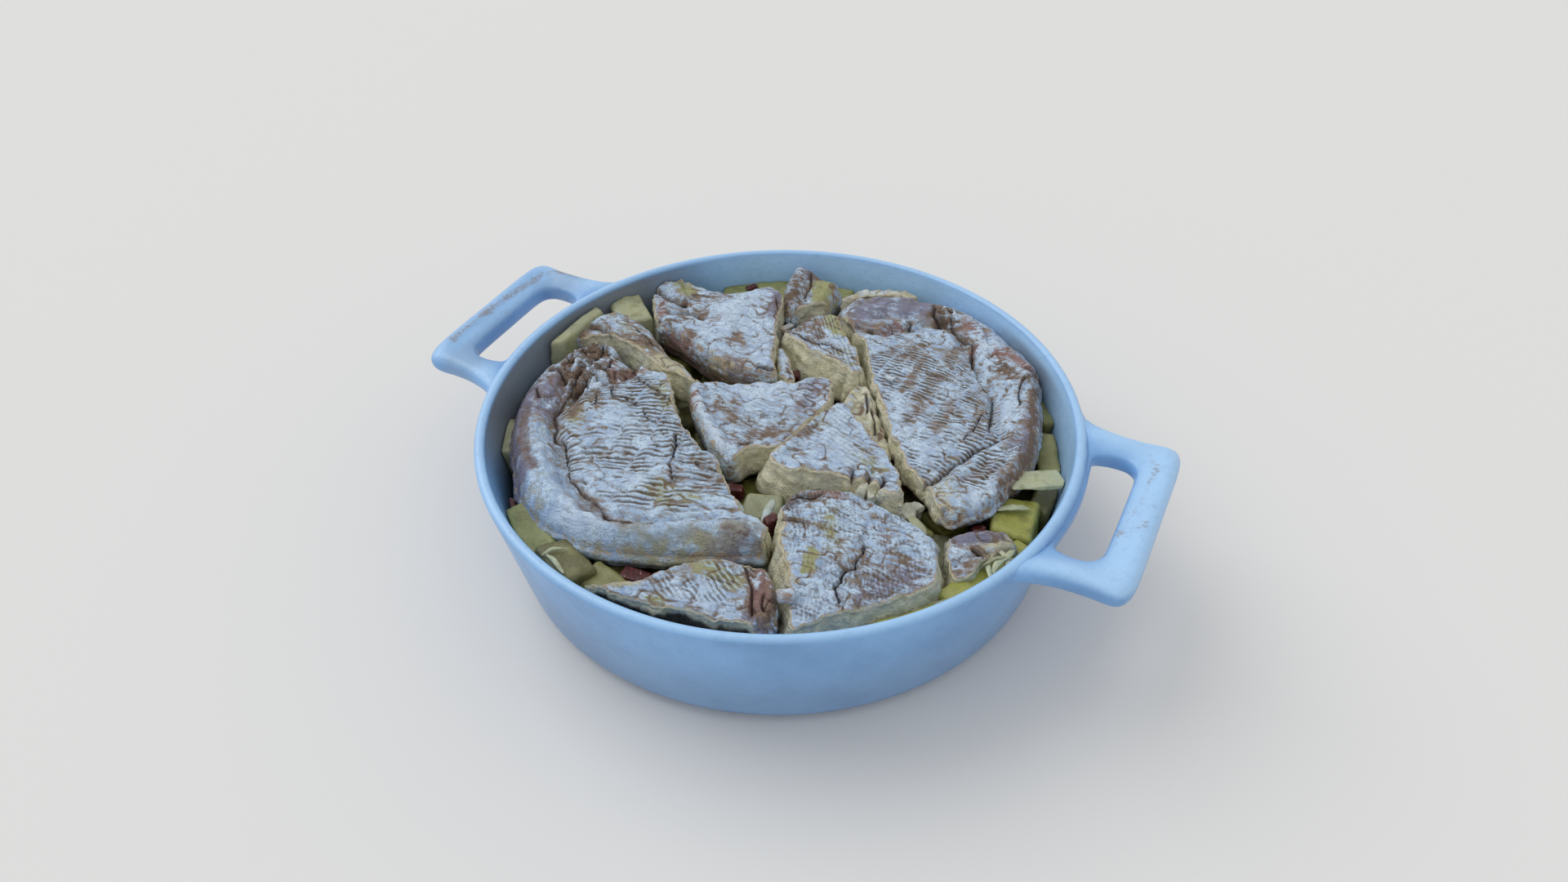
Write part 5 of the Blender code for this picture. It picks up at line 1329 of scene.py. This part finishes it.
# middle seen from above, level of the top, length, width, depth, turn about Z, lean, tone
potatoes = [
    (-104.5, 12.4, 53.0, 30.0, 6.4, 24.0, 87, 0, "pale"),
    (-94.0, 37.0, 50.5, 20.5, 15.0, 16.0, -40, 0, "pale"),
    (-55.0, 86.0, 41.5, 32.0, 14.0, 16.0, 33, 10, "green"),
    (-84.0, 60.0, 38.0, 22.0, 18.0, 12.0, 60, 5, "dim"),
    (-25.0, 101.0, 43.0, 22.0, 8.0, 14.0, 13, 8, "green"),
    (97.5, 37.0, 41.0, 25.0, 9.0, 18.0, 112, -8, "olive"),
    (86.5, 63.0, 42.0, 24.0, 8.0, 14.0, 122, 8, "olive"),
    (99.2, 12.6, 47.8, 18.5, 10.5, 1.8, 30, -5, "cream"),
    (103.0, 14.0, 40.0, 16.0, 10.0, 12.0, 80, 0, "dim"),
    (97.3, -4.0, 42.5, 19.0, 16.5, 16.0, -78, 0, "yellow"),
    (100.5, -36.0, 44.8, 44.0, 15.0, 10.0, 64, -3, "yellow"),
    (93.5, -54.0, 45.6, 17.0, 9.0, 8.0, 50, 4, "pale"),
    (83.0, -66.0, 45.4, 30.0, 9.0, 9.0, 50, 4, "yellow"),
    (66.5, -23.5, 41.0, 15.0, 9.0, 12.0, -30, 0, "olive"),
    (11.5, -37.0, 39.0, 15.0, 12.0, 10.0, 20, 4, "pale"),
    (-57.0, -86.0, 41.5, 27.0, 11.0, 14.0, -27, 8, "green"),
    (-35.5, -94.0, 42.5, 20.0, 13.0, 16.0, -25, -4, "dim"),
    (-19.0, -93.5, 38.5, 20.0, 13.0, 12.0, -12, 8, "olive"),
    (-95.5, -50.0, 41.5, 20.0, 8.0, 14.0, -58, 6, "pale"),
    (-6.0, 33.0, 38.5, 16.0, 10.0, 10.0, 30, 0, "dim"),
]
# start, stop, arch, width, thickness and tone of thin peels, shreds and onion
peels = [
    ((97, -25, 45.5), (107, -37, 45.6), 1.5, 2.2, 0.9, "cream"),
    ((95, -31, 45.0), (101, -44, 45.4), 1.2, 1.8, 0.8, "cream"),
    ((102, -23, 45.8), (99, -38, 45.4), 2.2, 2.6, 0.8, "cream"),
    ((105, -27, 45.8), (94, -36, 45.2), 2.6, 1.6, 0.7, "pale"),
    ((91, -41, 41.6), (97, -47, 41.8), 1.0, 2.4, 0.8, "cream"),
    ((80, -60, 40.0), (90, -55, 41.0), 1.6, 3.6, 0.9, "cream"),
    ((89, -5, 43.0), (101, 0, 43.5), 1.0, 3.0, 0.9, "cream"),
    ((3, -41, 41.6), (9, -47, 41.0), 1.6, 4.0, 1.6, "curd"),
    ((15, -35, 41.6), (17, -47, 41.6), 1.4, 3.4, 1.4, "curd"),
    ((71, -33, 41.5), (79, -31, 41.0), 1.2, 5.0, 2.4, "curd"),
    ((-6, 36, 39.4), (-1, 38, 40.0), 1.0, 3.4, 2.0, "curd"),
    ((-41, -96, 43.0), (-30, -100, 43.0), 0.4, 2.0, 0.9, "cream"),
    ((-36, -90, 42.6), (-42, -97, 43.0), 0.8, 1.4, 0.8, "cream"),
    ((62, -20, 41.4), (72, -26, 41.4), 0.8, 3.6, 1.2, "pale"),
]
# dice under the cheese
loose = dict(count=64, seed=11, reach=98.0, size=(13.0, 22.0), top=(29.0, 34.2))
hollow = (-88.0, -63.0, 17.0)  # where the filling has sunk
bed = dict(top=24.0, bottom=5.5, rows=14, steps=120, gap=0.8, lump=14.0, lumpHeight=2.0, dip=6.0)


# One tint for all points, a little off its tone at random.
def tinted(points, tone, draw, dim=1.0):
    base = np.array(shown(*np.clip(np.array(potatoTones[tone]) + draw.uniform(-8, 8), 0, 255))[:3]) * dim
    return {"tint": np.repeat(base[None], len(points), 0)}


# The bed under the dice, from a lumpy top down the bowl's inside, as rings round the middle.
def potatoFloor():
    top, bottom, steps = bed["top"], bed["bottom"], bed["steps"]
    z = np.concatenate([[top], np.linspace(top - 1.0, bottom + 0.1, bed["rows"] - 2), [bottom]])
    radius = innerRadius(z) - bed["gap"]
    radius[0] -= 1.0
    turn = np.arange(steps) * math.tau / steps
    spread = np.array([0.35, 0.7])
    z = np.concatenate([[top, top], z, [bottom, bottom]])[:, None]
    radius = np.concatenate([radius[0] * spread, radius, radius[-1] * spread[::-1]])[:, None]
    body = np.stack([radius * np.cos(turn), radius * np.sin(turn), np.repeat(z, steps, 1)], -1)
    rise = softNoise(body, bed["lump"], 4) * bed["lumpHeight"]
    sunk = bell(np.hypot(body[..., 0] - hollow[0], body[..., 1] - hollow[1]), hollow[2]) * bed["dip"]
    body[..., 2] += np.where(body[..., 2] > top - 2.0, rise - sunk, 0.0)
    points = np.concatenate([body.reshape(-1, 3), [(0, 0, top), (0, 0, bottom)]])
    return points, *closedFaces(points, len(z), steps)


# Chunks and slices at their places, dice scattered on a spiral that spreads them evenly, peels and the bed.
def makePotatoes():
    draw = np.random.default_rng(loose["seed"])
    solids = []
    for number, (x, y, top, long, wide, deep, turn, lean, tone) in enumerate(potatoes):
        points, quads = cutBlock((long, wide, deep), "potato", number)
        dent = np.clip(softNoise(points * 0.7 + 31.0 * number, 11.0, 9), 0, 1)
        points[:, 2] -= 1.6 * dent * (points[:, 2] > 0)
        points = insideBowl(placed(points, x, y, top, deep, turn, lean))
        solids.append((points, quads, tinted(points, tone, draw)))
    for number in range(loose["count"]):
        out, way = loose["reach"] * math.sqrt((number + 0.5) / loose["count"]), number * goldenAngle
        x, y = out * math.cos(way), out * math.sin(way)
        size = draw.uniform(*loose["size"], 3) * (1.0, 0.85, 0.8)
        top = draw.uniform(*loose["top"])
        turn, lean = draw.uniform(0, 180), draw.uniform(-6, 6)
        tone = ("olive", "dim", "yellow", "pale")[int(draw.integers(0, 4))]
        dim = draw.uniform(0.7, 0.95)
        if math.hypot(x - hollow[0], y - hollow[1]) < hollow[2] + 6:
            continue
        points, quads = cutBlock(size, "loose", number)
        points = insideBowl(placed(points, x, y, top - 0.8, size[2], turn, lean))
        points[:, 2] = np.minimum(points[:, 2], bedTop)
        solids.append((points, quads, tinted(points, tone, draw, dim)))
    fans, start = [], sum(len(p) for p, _, _ in solids)
    for number, (first, last, arch, wide, thick, tone) in enumerate(peels):
        points, quads, caps = peel(first, last, arch, wide, thick, 70 + number)
        points = insideBowl(points)
        solids.append((points, quads, tinted(points, tone, draw)))
        fans.append(caps + start)
        start += len(points)
    points, quads, caps = potatoFloor()
    solids.append((points, quads, {"tint": np.tile(shown(*potatoTones["bed"])[:3], (len(points), 1))}))
    fans.append(caps + start)
    points, quads, paints = joinSolids(solids)
    made = makeObject("potatoHeap", points, [quads, np.concatenate(fans)], potato, paints)
    settle(made, "potato_bed")


# middle, level of the top, length, width, depth, turn about Z
lardons = [
    (-1.8, -33.0, 39.0, 7.0, 4.5, 6.0, 20),
    (20.0, -45.3, 43.5, 5.5, 4.2, 8.0, 60),
    (50.5, 1.2, 39.0, 11.0, 4.0, 5.0, -48),
    (87.5, -15.8, 40.6, 8.0, 5.0, 6.0, -70),
    (78.4, -68.6, 41.5, 10.0, 3.4, 5.0, 44),
    (-10.5, -85.5, 38.0, 11.0, 6.0, 6.0, 10),
    (-70.4, -77.8, 38.0, 9.0, 3.2, 4.0, -45),
    (-59.5, 85.5, 43.5, 5.5, 3.5, 5.5, 60),
    (-12.6, 38.8, 40.0, 4.5, 3.0, 6.0, -60),
]

# loose scraps of cheese: middle, level of the top, length, width, depth, turn about Z, tone
scraps = {
    "crumb_white": (29.0, 40.0, 52.4, 5.5, 3.6, 2.4, -10, "white"),
    "crumb_back": (-25.8, 56.6, 49.5, 6.5, 4.6, 9.0, 75, "brown"),
    "rind_nub": (44.6, -81.2, 53.2, 6.4, 4.8, 3.4, 35, "rust"),
}


# One small cut block for each lardon.
def makeLardons():
    for number, (x, y, top, long, wide, deep, turn) in enumerate(lardons, 1):
        points, quads = cutBlock((long, wide, deep), "lardon", number)
        points = placed(points, x, y, top, deep, turn, 0.0)
        settle(makeObject(f"lardonFine{number}", points, [quads], bacon), f"lardon_{number}")


# One rough block for each scrap, blotched with its tone and with cream.
def makeScraps():
    for number, (node, (x, y, top, long, wide, deep, turn, tone)) in enumerate(scraps.items()):
        points, quads = cutBlock((long, wide, deep), "scrap", number)
        points = placed(points, x, y, top, deep, turn, 0.0)
        paint = {tone: 0.8 + 0.3 * softNoise(points, 2.5, 60), "cut": np.full(len(points), 0.2)}
        paint["cream"] = 0.4 + 0.4 * softNoise(points, 3.0, 61)
        settle(makeObject(sceneName(node) + "Fine", points, [quads], rind, paint), node)


makePotatoes()
makeLardons()
makeScraps()
print("potatoes, lardons and scraps made")


studio = {
    "floor": (225, 225, 224), "world": 0.72,
    "sun": dict(strength=1.05, angle=50.0, down=44.0, turn=262.0),
    "camera": (0.15070, -0.28073, 0.31135), "turn": 27.954, "down": 49.2466, "roll": -0.7219,
    "lens": 24.444,
}


# A plain floor, even light from all round, one wide soft sun and the camera fitted to the dish's rim.
def makeStudio():
    floor = Finish("floorFinish", 0.9)
    floor.colour(shown(*studio["floor"]))
    mesh = bpy.data.meshes.new("floor")
    mesh.from_pydata([(-4, -4, 0), (4, -4, 0), (4, 4, 0), (-4, 4, 0)], [], [(0, 1, 2, 3)])
    mesh.materials.append(floor.material)
    plane = addObject("floor", mesh)
    plane.location.z = -0.0002  # just under the dish's base
    world = bpy.data.worlds.new("studio")
    bpy.context.scene.world = world
    world.use_nodes = True
    light = world.node_tree.nodes["Background"].inputs
    light["Color"].default_value = (1.0, 1.0, 1.0, 1.0)
    light["Strength"].default_value = studio["world"]
    lamp = bpy.data.lights.new("sun", "SUN")
    lamp.energy = studio["sun"]["strength"]
    lamp.angle = math.radians(studio["sun"]["angle"])
    lit = addObject("sun", lamp)
    lit.rotation_euler = (math.radians(studio["sun"]["down"]), 0.0, math.radians(studio["sun"]["turn"]))
    data = bpy.data.cameras.new("camera")
    data.sensor_width = 36.0
    data.lens = studio["lens"]
    data.clip_start = 0.01
    camera = addObject("camera", data)
    turn = Matrix.Rotation(math.radians(studio["turn"]), 4, "Z")
    tip = Matrix.Rotation(math.radians(studio["down"]), 4, "X")
    roll = Matrix.Rotation(math.radians(studio["roll"]), 4, "Z")
    camera.matrix_world = Matrix.Translation(studio["camera"]) @ turn @ tip @ roll
    bpy.context.scene.camera = camera
    bpy.context.scene.view_settings.view_transform = "Standard"


makeStudio()
print("studio made")
